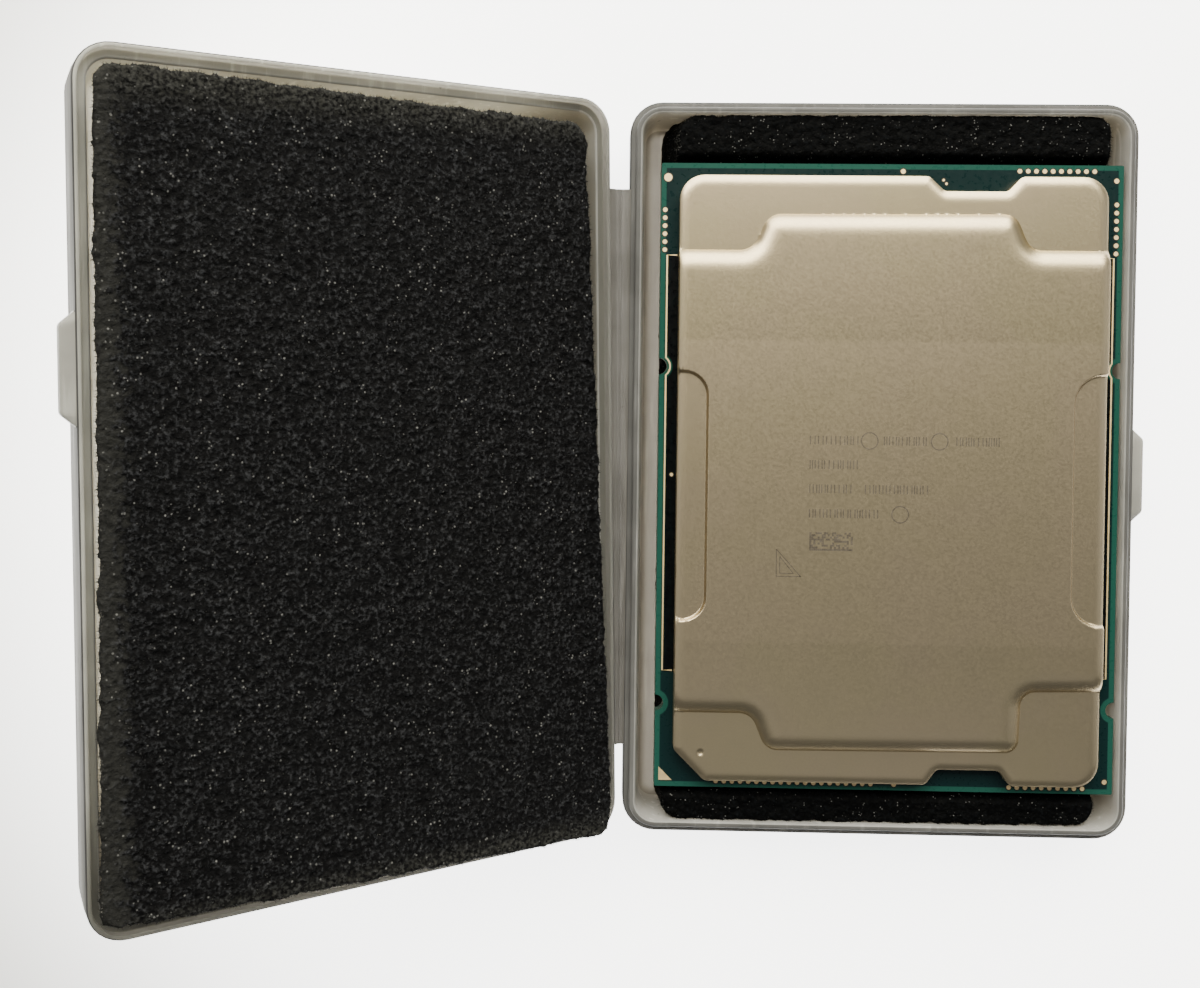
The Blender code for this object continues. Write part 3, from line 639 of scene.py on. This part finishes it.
def build_hinge():
    """The living hinge: a thin web with two ribs and a fold line, bent from tray to lid."""
    top = [(-1.14, -0.06), (-0.86, -0.05), (-0.73, -0.12), (-0.56, -0.05), (-0.41, -0.14), (-0.2, -0.14)]
    top += [(-0.11, -0.06), (0.0, -0.16)]
    top += [(-s, h) for s, h in reversed(top[:-1])]
    under = [(1.14, -0.45), (0.7, -0.4), (0.3, -0.36), (0.0, -0.34)]
    under += [(-s, h) for s, h in reversed(under[:-1])]
    count = 120
    shape = bmesh.new()
    loops = []
    for step in range(count + 1):
        y = HINGE_HALF_LENGTH * (2 * step / count - 1)
        half_span = HINGE_HALF_GAP + y * math.tan(HINGE_YAW)
        foot = HINGE_POINT + HINGE_AXIS * (y / HINGE_AXIS.y)
        loop = []
        for s, h in top + under:
            share = min(max((s + 1) / 2, 0.0), 1.0)
            bend = Matrix.Rotation(LID_OPEN_ABOVE_FLAT * smooth(share), 3, HINGE_AXIS)
            fan = Matrix.Rotation(HINGE_YAW * 2 * share, 3, "Z")
            loop.append(foot + bend @ fan @ Vector((-s * half_span, 0.0, h * MM)))
        loops.append(loop)
    loft(shape, loops)
    piece = new_piece("hinge_web", shape, [SHADED_HINGE_PLASTIC], None, sharp_angle=50)
    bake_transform(piece)
    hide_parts("living_hinge")

# --- Foam ---
def cell_tree(random_source, low, high, spacing):
    """Centres of the foam's cells, in a loose three-dimensional lattice."""
    counts = [int((b - a) / spacing) + 3 for a, b in zip(low, high)]
    grid = np.stack(np.meshgrid(*[np.arange(n) for n in counts], indexing="ij"), -1).reshape(-1, 3)
    places = np.array(low) + (grid - 1 + random_source.uniform(-0.42, 0.42, grid.shape)) * spacing
    tree = KDTree(len(places))
    for index, place in enumerate(places):
        tree.insert(place, index)
    tree.balance()
    return tree

def scattered(random_source, outline, spacing, margin):
    """Loosely staggered points inside an outline."""
    xs = [point.x for point in outline]
    ys = [point.y for point in outline]
    columns = np.arange(min(xs), max(xs), spacing)
    rows = np.arange(min(ys), max(ys), spacing * 0.87)
    grid = np.stack(np.meshgrid(columns, rows), -1)
    grid[1::2, :, 0] += spacing / 2
    points = grid.reshape(-1, 2) + random_source.uniform(-0.28, 0.28, (len(rows) * len(columns), 2)) * spacing
    inside = signed_distance(points, outline) > margin
    return [Vector(point) for point in points[inside]]

def ragged(outline, amount, seed):
    """The outline with a torn edge."""
    torn = []
    for index, point in enumerate(outline):
        along = (outline[(index + 1) % len(outline)] - outline[index - 1]).normalized()
        place = Vector((point.x, point.y, seed * MM)) / MM
        wander = noise.noise(place * 0.35) * 0.9 + noise.noise(place * 1.3) * 0.5
        torn.append(point - Vector((-along.y, along.x)) * (amount * wander))
    return torn

def add_strand(shape, place, direction, length, thickness, material):
    """One loose strut: a slim closed spike."""
    side = direction.orthogonal().normalized() * thickness
    turn = Matrix.Rotation(math.radians(120), 3, direction)
    base = place - direction * (length * 0.3)
    corners = [shape.verts.new(base + side), shape.verts.new(base + turn @ side)]
    corners.append(shape.verts.new(base + turn @ turn @ side))
    tip = shape.verts.new(place + direction * length)
    for a, b, c in ((0, 1, tip), (1, 2, tip), (2, 0, tip)):
        shape.faces.new((corners[a], corners[b], c)).material_index = material
    shape.faces.new(corners[::-1]).material_index = material

def foam_skin(source, base, crown, heights, spacing):
    """The pad's plain skin: sides that lead from the base to the crown, and a rounded upper edge."""
    bottom, top, crown_from = heights
    edge = 0.5 * MM
    levels = list(np.arange(bottom, top - edge, spacing * 1.05))
    levels += [top - edge * part for part in (0.75, 0.45, 0.2, 0.05)]
    loops = []
    for z in levels:
        share = smooth((z - crown_from) / max(top - edge - crown_from, 1e-6))
        outline = [low.lerp(high, share) for low, high in zip(base, crown)]
        inward = edge - math.sqrt(max(edge**2 - max(z - (top - edge), 0) ** 2, 0))
        loops.append(at_height(inset(outline, inward), z))
    shape = bmesh.new()
    rings = loft(shape, loops, capped=False)
    shape.faces.new(rings[0][::-1])
    rim = [Vector(point[:2]) for point in loops[-1]]
    triangulate(shape, [rim], scattered(source, rim, spacing, spacing * 0.45), levels[-1])
    bmesh.ops.remove_doubles(shape, verts=shape.verts, dist=0.001 * MM)
    bmesh.ops.recalc_face_normals(shape, faces=shape.faces)
    shape.normal_update()
    return shape

def pit(source, skin, bottom, top, rise):
    """Moves the skin in and out along its normals, and up where the foam swells."""
    low = [min(vert.co[i] for vert in skin) for i in range(3)]
    high = [max(vert.co[i] for vert in skin) for i in range(3)]
    tree = cell_tree(source, low, high, CELL)
    moves = []
    for vert in skin:
        (_, _, nearest), (_, _, second) = tree.find_n(vert.co, 2)
        wall = min((second - nearest) / (0.5 * CELL), 1.0)
        slow = noise.noise(vert.co / (2.1 * MM))
        quick = noise.noise(vert.co / (0.55 * MM))
        moves.append(vert.normal * ((0.08 - 0.2 * wall) * MM + slow * 0.12 * MM + quick * 0.16 * MM))
    for vert, move in zip(skin, moves):
        share = (vert.co.z - bottom) / (top - bottom)
        vert.co += move
        if rise:
            vert.co.z += rise(vert.co) * share

def add_strands(source, shape, skin, top, counts):
    """Loose struts over the pad's top, and longer ones along its edge."""
    near_top = [vert for vert in skin if vert.co.z > top - 1.6 * MM]
    on_edge = [vert for vert in near_top if abs(vert.normal.z) < 0.9]
    for pool, count, longest in ((near_top, counts[0], 0.26), (on_edge, counts[1], 0.45)):
        for index in source.integers(0, len(pool), count):
            vert = pool[index]
            direction = (vert.normal + Vector(source.uniform(-0.9, 0.9, 3))).normalized()
            length = source.uniform(0.12, longest) * MM
            add_strand(shape, vert.co.copy(), direction, length, source.uniform(0.02, 0.045) * MM, 1)

def build_foam(
    name, body, node, look, base, crown, heights, spacing, strands, torn, seed, place=None, rise=None
):
    """An open-celled pad. Heights are its bottom, its top, and where its sides start towards the crown."""
    source = np.random.default_rng(seed)
    base = resampled(base, spacing)
    crown = [Vector(point) for point in ragged(matched(in_metres(crown), base), torn, seed)]
    base = ragged(base, torn / 2, seed + 5)
    bottom, top, _ = heights
    shape = foam_skin(source, base, crown, heights, spacing)
    skin = [vert for vert in shape.verts if vert.co.z > bottom + 0.01 * MM]
    pit(source, skin, bottom, top, rise)
    add_strands(source, shape, skin, top, strands)
    piece = new_piece(name, shape, [look, FOAM_STRUT], body, place, sharp_angle=180, replaces=[node])
    return piece

def matched(corners, like):
    """An outline through four (x, y) corners, with as many points as another in the same order."""
    xs = [point.x for point in like]
    ys = [point.y for point in like]
    low, high = Vector((min(xs), min(ys))), Vector((max(xs), max(ys)))
    (ax, ay), (bx, by), (cx, cy), (dx, dy) = corners
    points = []
    for point in like:
        u = (point.x - low.x) / (high.x - low.x)
        v = (point.y - low.y) / (high.y - low.y)
        lower = Vector((ax, ay)).lerp(Vector((bx, by)), u)
        upper = Vector((dx, dy)).lerp(Vector((cx, cy)), u)
        points.append(lower.lerp(upper, v))
    return points

def swell(place):
    """The tray's foam stands up past the ends of the board that presses it down."""
    past = abs(place.y - BOARD_PLACE.translation.y) - BOARD_HALF_LENGTH - 0.15 * MM
    return 1.6 * MM * smooth(past / (1.3 * MM))

def build_foams():
    low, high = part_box("tray_foam_pad")
    middle = (low + high) / 2
    half = (high - low) / 2
    build_foam(
        "tray_foam", "tray", "tray_foam_pad", SHADED_TRAY_FOAM,
        base=rectangle(half.x, half.y, 2.6 * MM, (middle.x, middle.y)),
        crown=((-26.5, -44.0), (27.1, -43.8), (27.8, 44.1), (-25.3, 43.9)),
        heights=(low.z, high.z, 3.0 * MM),
        spacing=0.34 * MM, strands=(1800, 9000), torn=0.14 * MM, seed=11, rise=swell,
    )
    foot = 1.14 * MM
    pad = build_foam(
        "lid_foam", "lid", "lid_foam_pad", LID_FOAM,
        base=rectangle(27.6 * MM, 42.4 * MM, 2.2 * MM, (-0.7 * MM, -0.9 * MM)),
        crown=((-30.0, -43.6), (29.7, -45.0), (26.9, 41.9), (-29.4, 43.2)),
        heights=(foot, 10.0 * MM, 7.4 * MM),
        spacing=0.3 * MM, strands=(5000, 8000), torn=0.32 * MM, seed=23, place=LID_FRAME,
    )
    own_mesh(pad)

# --- Heat spreader ---
def flange_outline():
    """The spreader's outline: a notch in each short side and a chamfer at the pin-one corner."""
    left, right = -26.05, 25.7
    top, bottom = 37.0, -37.35
    corners = [
        (right, bottom, 3.0), (right, top, 3.0),
        (15.3, top, 1.0), (13.6, top - 1.8, 1.0), (6.0, top - 1.8, 1.0), (4.1, top, 1.0),
        (left, top, 3.0), (left, bottom + 3.8, 1.0), (left + 3.8, bottom, 1.0),
        (4.8, bottom, 1.0), (6.1, bottom + 1.9, 1.0), (13.7, bottom + 1.9, 1.0), (15.1, bottom, 1.0),
    ]
    return rounded(in_metres(corners))

def plateau_outline():
    """The foot of the raised middle. It steps in towards each short side and runs out over the long ones."""
    side = 30.0
    corners = [
        (side, -25.4, 0.0), (side, 28.05, 0.0),
        (16.3, 28.05, 2.2), (14.5, 32.4, 2.2), (-15.3, 32.25, 2.4), (-17.2, 27.85, 2.4),
        (-side, 27.85, 0.0), (-side, -28.85, 0.0),
        (-16.6, -28.85, 2.2), (-14.8, -33.35, 2.2), (15.85, -33.15, 1.6), (16.1, -25.7, 1.8),
    ]
    return rounded(in_metres(corners))

def recess_outline(inner_x, outer_x):
    bend = 2.9 if inner_x < 0 else 3.5
    corners = [(inner_x, -17.4, bend), (outer_x, -17.4, 0.0), (outer_x, 13.0, 0.0), (inner_x, 13.0, bend)]
    if outer_x < inner_x:
        corners = corners[::-1]
    return rounded(in_metres(corners))

class SpreaderTop:
    """The height of the spreader's upper face."""

    def __init__(self):
        self.flange = resampled(flange_outline(), 0.45 * MM)
        self.plateau = resampled(plateau_outline(), 0.35 * MM)
        self.recesses = [
            resampled(recess_outline(-22.5, -30.0), 0.35 * MM),
            resampled(recess_outline(21.65, 30.0), 0.35 * MM),
        ]
        self.dimple = Vector((-22.76 * MM, -33.82 * MM))

    def __call__(self, points):
        places = np.array(points, float)
        up_slope = np.clip(signed_distance(places, self.plateau) / PLATEAU_SLOPE, 0, 1)
        z = FLANGE_TOP + PLATEAU_RISE * (1 - (1 - up_slope) ** SLOPE_POWER)
        for recess in self.recesses:
            z -= RECESS_DEPTH * smooth(signed_distance(places, recess) / RECESS_STEP + 0.5)
        edge = np.clip(signed_distance(places, self.flange) / EDGE_WIDTH, 0, 1)
        z -= EDGE_DROP * (1 - edge) ** EDGE_POWER
        from_dimple = np.linalg.norm(places - np.array(self.dimple), axis=1) / (0.55 * MM)
        return z - 0.18 * MM * (1 - smooth(from_dimple))

EDGE_ROWS = (0.05, 0.12, 0.22, 0.34, 0.48, 0.66, 0.86, 1.1, 1.35, 1.6)  # offsets in mm
SLOPE_ROWS = (-0.5, -0.25, -0.08, 0.0, 0.12, 0.28, 0.48, 0.7, 0.95, 1.2, 1.5, 1.8, 2.2, 2.7, 3.25)
RECESS_ROWS = np.linspace(-0.3, 0.3, 9)

def spreader_points(top):
    """Points for the upper face: rows beside its outlines, rings round the dimple and a grid."""
    outlines = [(top.flange, EDGE_ROWS), (top.plateau, SLOPE_ROWS)]
    outlines += [(recess, RECESS_ROWS) for recess in top.recesses]
    points = []
    for outline, rows in outlines:
        points += [point for row in rows for point in inset(outline, row * MM)]
    angles = np.linspace(0, 6.283, 20)[:-1]
    for ring in range(1, 6):
        radius = 0.14 * ring * MM
        points += [top.dimple + radius * Vector((math.cos(a), math.sin(a))) for a in angles]
    xs = np.arange(-25.0, 25.1, 1.25) * MM
    ys = np.arange(-36.5, 36.6, 1.25) * MM
    points += [Vector((x, y)) for x in xs for y in ys]
    distance = signed_distance(points, top.flange)
    return [point for point, d in zip(points, distance) if d > 0.01 * MM]

def build_heat_spreader():
    top = SpreaderTop()
    shape = bmesh.new()
    triangulate(shape, [top.flange], spreader_points(top), top)
    rim = [(p.x, p.y, z) for p, z in zip(top.flange, top(top.flange))]
    cavity = resampled(rectangle(20.5 * MM, 31.1 * MM, 2.5 * MM, (0, -0.1 * MM)), 1.0 * MM)
    foot = SPREADER_UNDERSIDE
    middle = [(p.x, p.y, (foot + 0.25 * MM)) for p in top.flange]
    sole = [(p.x, p.y, foot) for p in inset(top.flange, 0.2 * MM)]
    loft(shape, [rim, middle, sole], capped=False)
    triangulate(shape, [[Vector(p[:2]) for p in sole], cavity], [], foot)
    loft(shape, [at_height(cavity, foot), at_height(cavity, CAVITY_TOP)], capped=False)
    triangulate(shape, [cavity], [], CAVITY_TOP)
    bmesh.ops.remove_doubles(shape, verts=shape.verts, dist=0.002 * MM)
    piece = new_piece("nickel_lid", shape, [NICKEL], "processor", BOARD_PLACE, 45, ["heat_spreader"])

# --- Marks and pads ---
def add_bar(shape, x, y, width, height, bottom, top, material=0):
    """A flat bar from its lower left corner."""
    corners = [(x, y), (x + width, y), (x + width, y + height), (x, y + height)]
    loft(shape, [[(a, b, z) for a, b in corners] for z in (bottom, top)], material)

def add_ribbon(shape, line, width, bottom, top, closed=False, material=0):
    """A flat strip of even width along a line."""
    left, right = [], []
    count = len(line)
    for index, point in enumerate(line):
        before = line[index - 1] if index or closed else point
        after = line[(index + 1) % count] if index < count - 1 or closed else point
        along = (after - before).normalized()
        across = Vector((-along.y, along.x)) * (width / 2)
        left.append(point + across)
        right.append(point - across)
    sections = []
    for a, b in zip(left, right):
        corners = [(b.x, b.y, bottom), (a.x, a.y, bottom), (a.x, a.y, top), (b.x, b.y, top)]
        sections.append(corners)
    if not closed:
        loft(shape, sections, material)
        return
    rings = [[shape.verts.new(point) for point in section] for section in sections]
    for ring, following in zip(rings, rings[1:] + rings[:1]):
        for i in range(4):
            j = (i + 1) % 4
            shape.faces.new((ring[i], ring[j], following[j], following[i])).material_index = material

def add_disc(shape, x, y, radius, bottom, top, sides=14, material=0):
    angles = np.arange(sides) * math.tau / sides
    ring = [Vector((x + radius * math.cos(a), y + radius * math.sin(a))) for a in angles]
    loft(shape, [at_height(ring, bottom), at_height(ring, top)], material)

def add_pad(shape, x, y, radius, low, high):
    """A gold pad in a dark opening of the solder mask."""
    add_disc(shape, x, y, radius, low, high)
    add_disc(shape, x, y, radius + 0.13 * MM, low, (low + high) / 2, material=1)

def build_marks():
    """Generic laser marks: rows of plain ticks, rings, a random block code and the pin-one triangle."""
    source = random.Random(5)
    low = FLANGE_TOP + PLATEAU_RISE - 0.01 * MM
    high = low + 0.02 * MM
    shape = bmesh.new()
    rows = (
        (4.3, ((-10.1, -4.3), (-1.2, 4.0), (7.5, 12.6))),
        (1.35, ((-10.1, -4.4),)),
        (-1.6, ((-10.1, -4.7), (-3.4, 4.4))),
        (-4.6, ((-10.1, -1.4),)),
    )
    for y, words in rows:
        for start, end in words:
            x = start
            while x < end:
                add_bar(shape, x * MM, y * MM, 0.13 * MM, 1.05 * MM, low, high)
                x += source.choice((0.3, 0.42, 0.55))
    for x, y in ((-2.9, 4.8), (5.5, 4.8), (0.9, -4.1)):
        ring = [Vector((x + math.cos(a), y + math.sin(a))) * MM for a in np.arange(28) * math.tau / 28]
        add_ribbon(shape, ring, 0.14 * MM, low, high, closed=True)
    cell = 0.25
    for column in range(21):
        for row in range(9):
            border = row == 0 or column == 0
            if border or source.random() < 0.48:
                x, y = -10.0 + column * cell, -8.6 + row * cell
                add_bar(shape, x * MM, y * MM, cell * 0.96 * MM, cell * 0.96 * MM, low, high)
    for grow in (0.0, 0.42):
        a = Vector((-13.95 + grow, -11.8 + grow * 0.9))
        b = Vector((-11.0 - grow * 2.1, -11.8 + grow * 0.9))
        c = Vector((-13.95 + grow, -8.5 - grow * 2.1))
        for start, end in ((a, b), (b, c), (c, a)):
            add_ribbon(shape, [start * MM, end * MM], 0.1 * MM, low, high)
    new_piece("etched_marks", shape, [ETCHED], "processor", BOARD_PLACE)

def edge_line(side_x, turn_in, notch_x, y_low, y_high, notch_y):
    """The gold guard line beside the spreader, which goes round the upper key notch."""
    bulge = KEY_NOTCH_RADIUS / MM + 0.35
    offset = notch_x - side_x
    half = math.sqrt(max(bulge**2 - offset**2, 0.0))
    line = [Vector((turn_in, y_low)), Vector((side_x, y_low))]
    start = math.atan2(-half, side_x - notch_x)
    end = math.atan2(half, side_x - notch_x)
    if side_x > notch_x:
        angles = np.linspace(start, end, 9)
    else:
        angles = np.linspace(start % math.tau, end % math.tau, 9)
    if half > 0:
        line += [Vector((notch_x + bulge * math.cos(a), notch_y + bulge * math.sin(a))) for a in angles]
    line += [Vector((side_x, y_high)), Vector((turn_in, y_high))]
    return [point * MM for point in line]

def build_board_gold():
    """Test pads, fiducials, the guard lines and the pin-one triangle on the board's upper face."""
    low, high = 0.005 * MM, 0.03 * MM
    shape = bmesh.new()
    rows = (
        (6, (-27.75, 32.97), (-27.75, 28.03)),
        (10, (15.61, 38.0), (24.69, 38.0)),
        (7, (27.45, 33.95), (27.45, 27.96)),
        (20, (-20.58, -38.0), (-1.41, -38.0)),
        (10, (15.59, -38.08), (24.58, -38.08)),
    )
    for count, start, end in rows:
        for step in range(count):
            x, y = Vector(start).lerp(Vector(end), step / (count - 1))
            add_pad(shape, x * MM, y * MM, 0.28 * MM, low, high)
    singles = ((-27.42, 36.96, 0.5), (27.38, 36.86, 0.3), (1.4, 37.88, 0.3), (1.45, -37.99, 0.3))
    singles += ((27.27, -37.2, 0.3), (-26.57, 0.17, 0.22), (6.35, 36.85, 0.16), (6.7, 36.4, 0.16))
    for x, y, radius in singles:
        add_pad(shape, x * MM, y * MM, radius * MM, low, high)
    add_ribbon(shape, edge_line(-27.43, -26.2, -28.25, -24.22, 27.38, 13.6), 0.19 * MM, low, high)
    add_ribbon(shape, edge_line(27.2, 26.2, 28.25, -24.43, 27.39, 13.6), 0.19 * MM, low, high)
    corner = [Vector((-27.72, -36.3)), Vector((-27.72, -37.98)), Vector((-26.05, -37.98))]
    loft(shape, [at_height([p * MM for p in corner], z) for z in (low, high)])
    new_piece("board_pads", shape, [GOLD, CLEARANCE], "processor", BOARD_PLACE)

def build_lands():
    """The contact lands under the board, in staggered rows round a bare window."""
    for name in ("land_field_left", "land_field_right"):
        low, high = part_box(name)
        side = -1 if low.x + high.x < 2 * BOARD_PLACE.translation.x else 1
        middle = BOARD_PLACE.translation
        shape = bmesh.new()
        pitch, row_pitch = 0.99 * MM, 0.857 * MM
        for row in range(int((high.y - low.y - 0.6 * MM) / row_pitch) + 1):
            y = low.y + 0.35 * MM + row * row_pitch
            shift = pitch / 2 if row % 2 else 0.0
            for column in range(int((high.x - low.x - 0.6 * MM - shift) / pitch) + 1):
                x = low.x + 0.35 * MM + shift + column * pitch
                if abs(x - middle.x) < 9.3 * MM and abs(y - middle.y) < 12.3 * MM:
                    continue
                add_disc(shape, x, y, 0.33 * MM, low.z, high.z, sides=8)
        piece = new_piece(name.replace("field", "grid"), shape, [LAND_GOLD], "processor", None, 32, [name])

def build_capacitors():
    """Chip capacitors: a ceramic body between two plated ends, each in place of its CAD block."""
    for name in sorted(frame["nodes"]):
        if "_capacitor_" not in name:
            continue
        low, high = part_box(name)
        half = (high - low) / 2
        end = half.x * 0.42
        shape = bmesh.new()
        slim = 0.03 * MM
        for start, finish, shrink, material in (
            (-half.x, -half.x + end, 0.0, 1),
            (-half.x + end, half.x - end, slim, 0),
            (half.x - end, half.x, 0.0, 1),
        ):
            centre = ((start + finish) / 2, 0.0)
            outline = rectangle((finish - start) / 2, half.y - shrink, 0.04 * MM, centre, steps=3)
            add_slab(shape, outline, shrink - half.z, half.z - shrink, 0.03 * MM, material)
        place = Matrix.Translation((low + high) / 2)
        piece = new_piece(name + "_chip", shape, [CERAMIC, TIN], "processor", place, replaces=[name])

# --- Pieces kept from the frame ---
def dress(node, look):
    for material_slot in frame["nodes"][node].material_slots:
        material_slot.material = look.material

# --- Studio ---
def build_floor():
    """A pale light table, which glows near the object and fades out farther away."""
    look = mottled("studio_floor", (0.88, 0.88, 0.87), (0.9, 0.9, 0.89), 0.7, 60 * MM, relief=0.05 * MM)
    look.set("Emission Color", (1.0, 1.0, 0.99, 1.0))
    distance = look.vector_math("LENGTH", look.coordinates)["Value"]
    look.set("Emission Strength", look.range(look.fade(distance, 0.085, 0.15), 0, 1, 4.6, 0.2))
    outline = rectangle(2.0, 2.0, 0.3)
    shape = bmesh.new()
    add_slab(shape, outline, -0.02, -0.0001, 0.004)
    floor = new_piece("studio_floor", shape, [look], None)

def add_light(name, place, size, power, colour=(1.0, 1.0, 1.0)):
    """A soft panel that faces the middle of the scene."""
    data = bpy.data.lights.new(name, "AREA")
    data.shape = "RECTANGLE"
    data.size, data.size_y = size
    data.energy = power
    data.color = colour
    light = bpy.data.objects.new(name, data)
    light.location = place
    light.rotation_euler = (Vector((0, 0, 0)) - Vector(place)).to_track_quat("-Z", "Y").to_euler()
    bpy.context.scene.collection.objects.link(light)

def build_lights():
    world = bpy.data.worlds.new("studio")
    world.use_nodes = True
    background = world.node_tree.nodes["Background"]
    background.inputs["Color"].default_value = (0.93, 0.96, 1.0, 1.0)
    background.inputs["Strength"].default_value = 0.12
    bpy.context.scene.world = world
    warm = (1.0, 0.965, 0.84)
    add_light("key", (-0.05, 0.56, 0.64), (1.2, 0.55), 19.0, warm)
    add_light("low_key", (0.0, 0.8, 0.3), (1.2, 0.3), 9.0, warm)
    add_light("left_fill", (-0.75, 0.0, 0.4), (0.5, 0.8), 0.6)
    add_light("back_overhead", (-0.05, -0.32, 0.75), (1.0, 0.25), 0.22)
    add_light("right_fill", (0.75, 0.0, 0.4), (0.5, 0.8), 0.6)

def build_camera():
    """Nearly straight down over the tray's left edge, as the photograph was taken."""
    data = bpy.data.cameras.new("camera")
    data.sensor_width = 36.0
    data.lens = 36.06
    data.shift_x = 0.041
    data.shift_y = -0.077
    data.clip_start = 0.01
    camera = bpy.data.objects.new("camera", data)
    back = Vector((0.02619, 0.0181, 0.99949)).normalized()
    up = Vector((-0.01156, 0.99977, -0.01781))
    right = up.cross(back).normalized()
    up = back.cross(right)
    turn = Matrix((right, up, back)).transposed().to_4x4()
    camera.matrix_world = Matrix.Translation((-36.84 * MM, 10.86 * MM, 158.46 * MM)) @ turn
    bpy.context.scene.collection.objects.link(camera)
    bpy.context.scene.camera = camera

def write_size():
    bpy.context.view_layer.update()

def main():
    build_camera()
    build_floor()
    build_lights()
    tray_tab_y = -0.2 * MM
    lid_tab_y = 12.7 * MM
    build_case_half("tray_case", "tray", "tray_shell", TRAY_MOUTH, TRAY_PLASTICS, tray_tab_y, None)
    mirror = Matrix.Rotation(math.pi, 4, "Z")
    build_case_half("lid_case", "lid", "lid_shell", LID_MOUTH, LID_PLASTICS, -lid_tab_y, LID_FRAME @ mirror)
    build_hinge()
    build_foams()
    build_heat_spreader()
    build_marks()
    build_board_gold()
    build_lands()
    build_capacitors()
    for node, look in (
        ("tray_foam_adhesive", ADHESIVE), ("lid_foam_adhesive", ADHESIVE), ("substrate", SOLDER_MASK),
        ("silicon_die", SILICON), ("solder_bump_field", SOLDER), ("underfill_fillet", UNDERFILL),
        ("solder_thermal_interface", INDIUM), ("spreader_sealant_bead", SEALANT),
    ):
        dress(node, look)

main()
write_size()
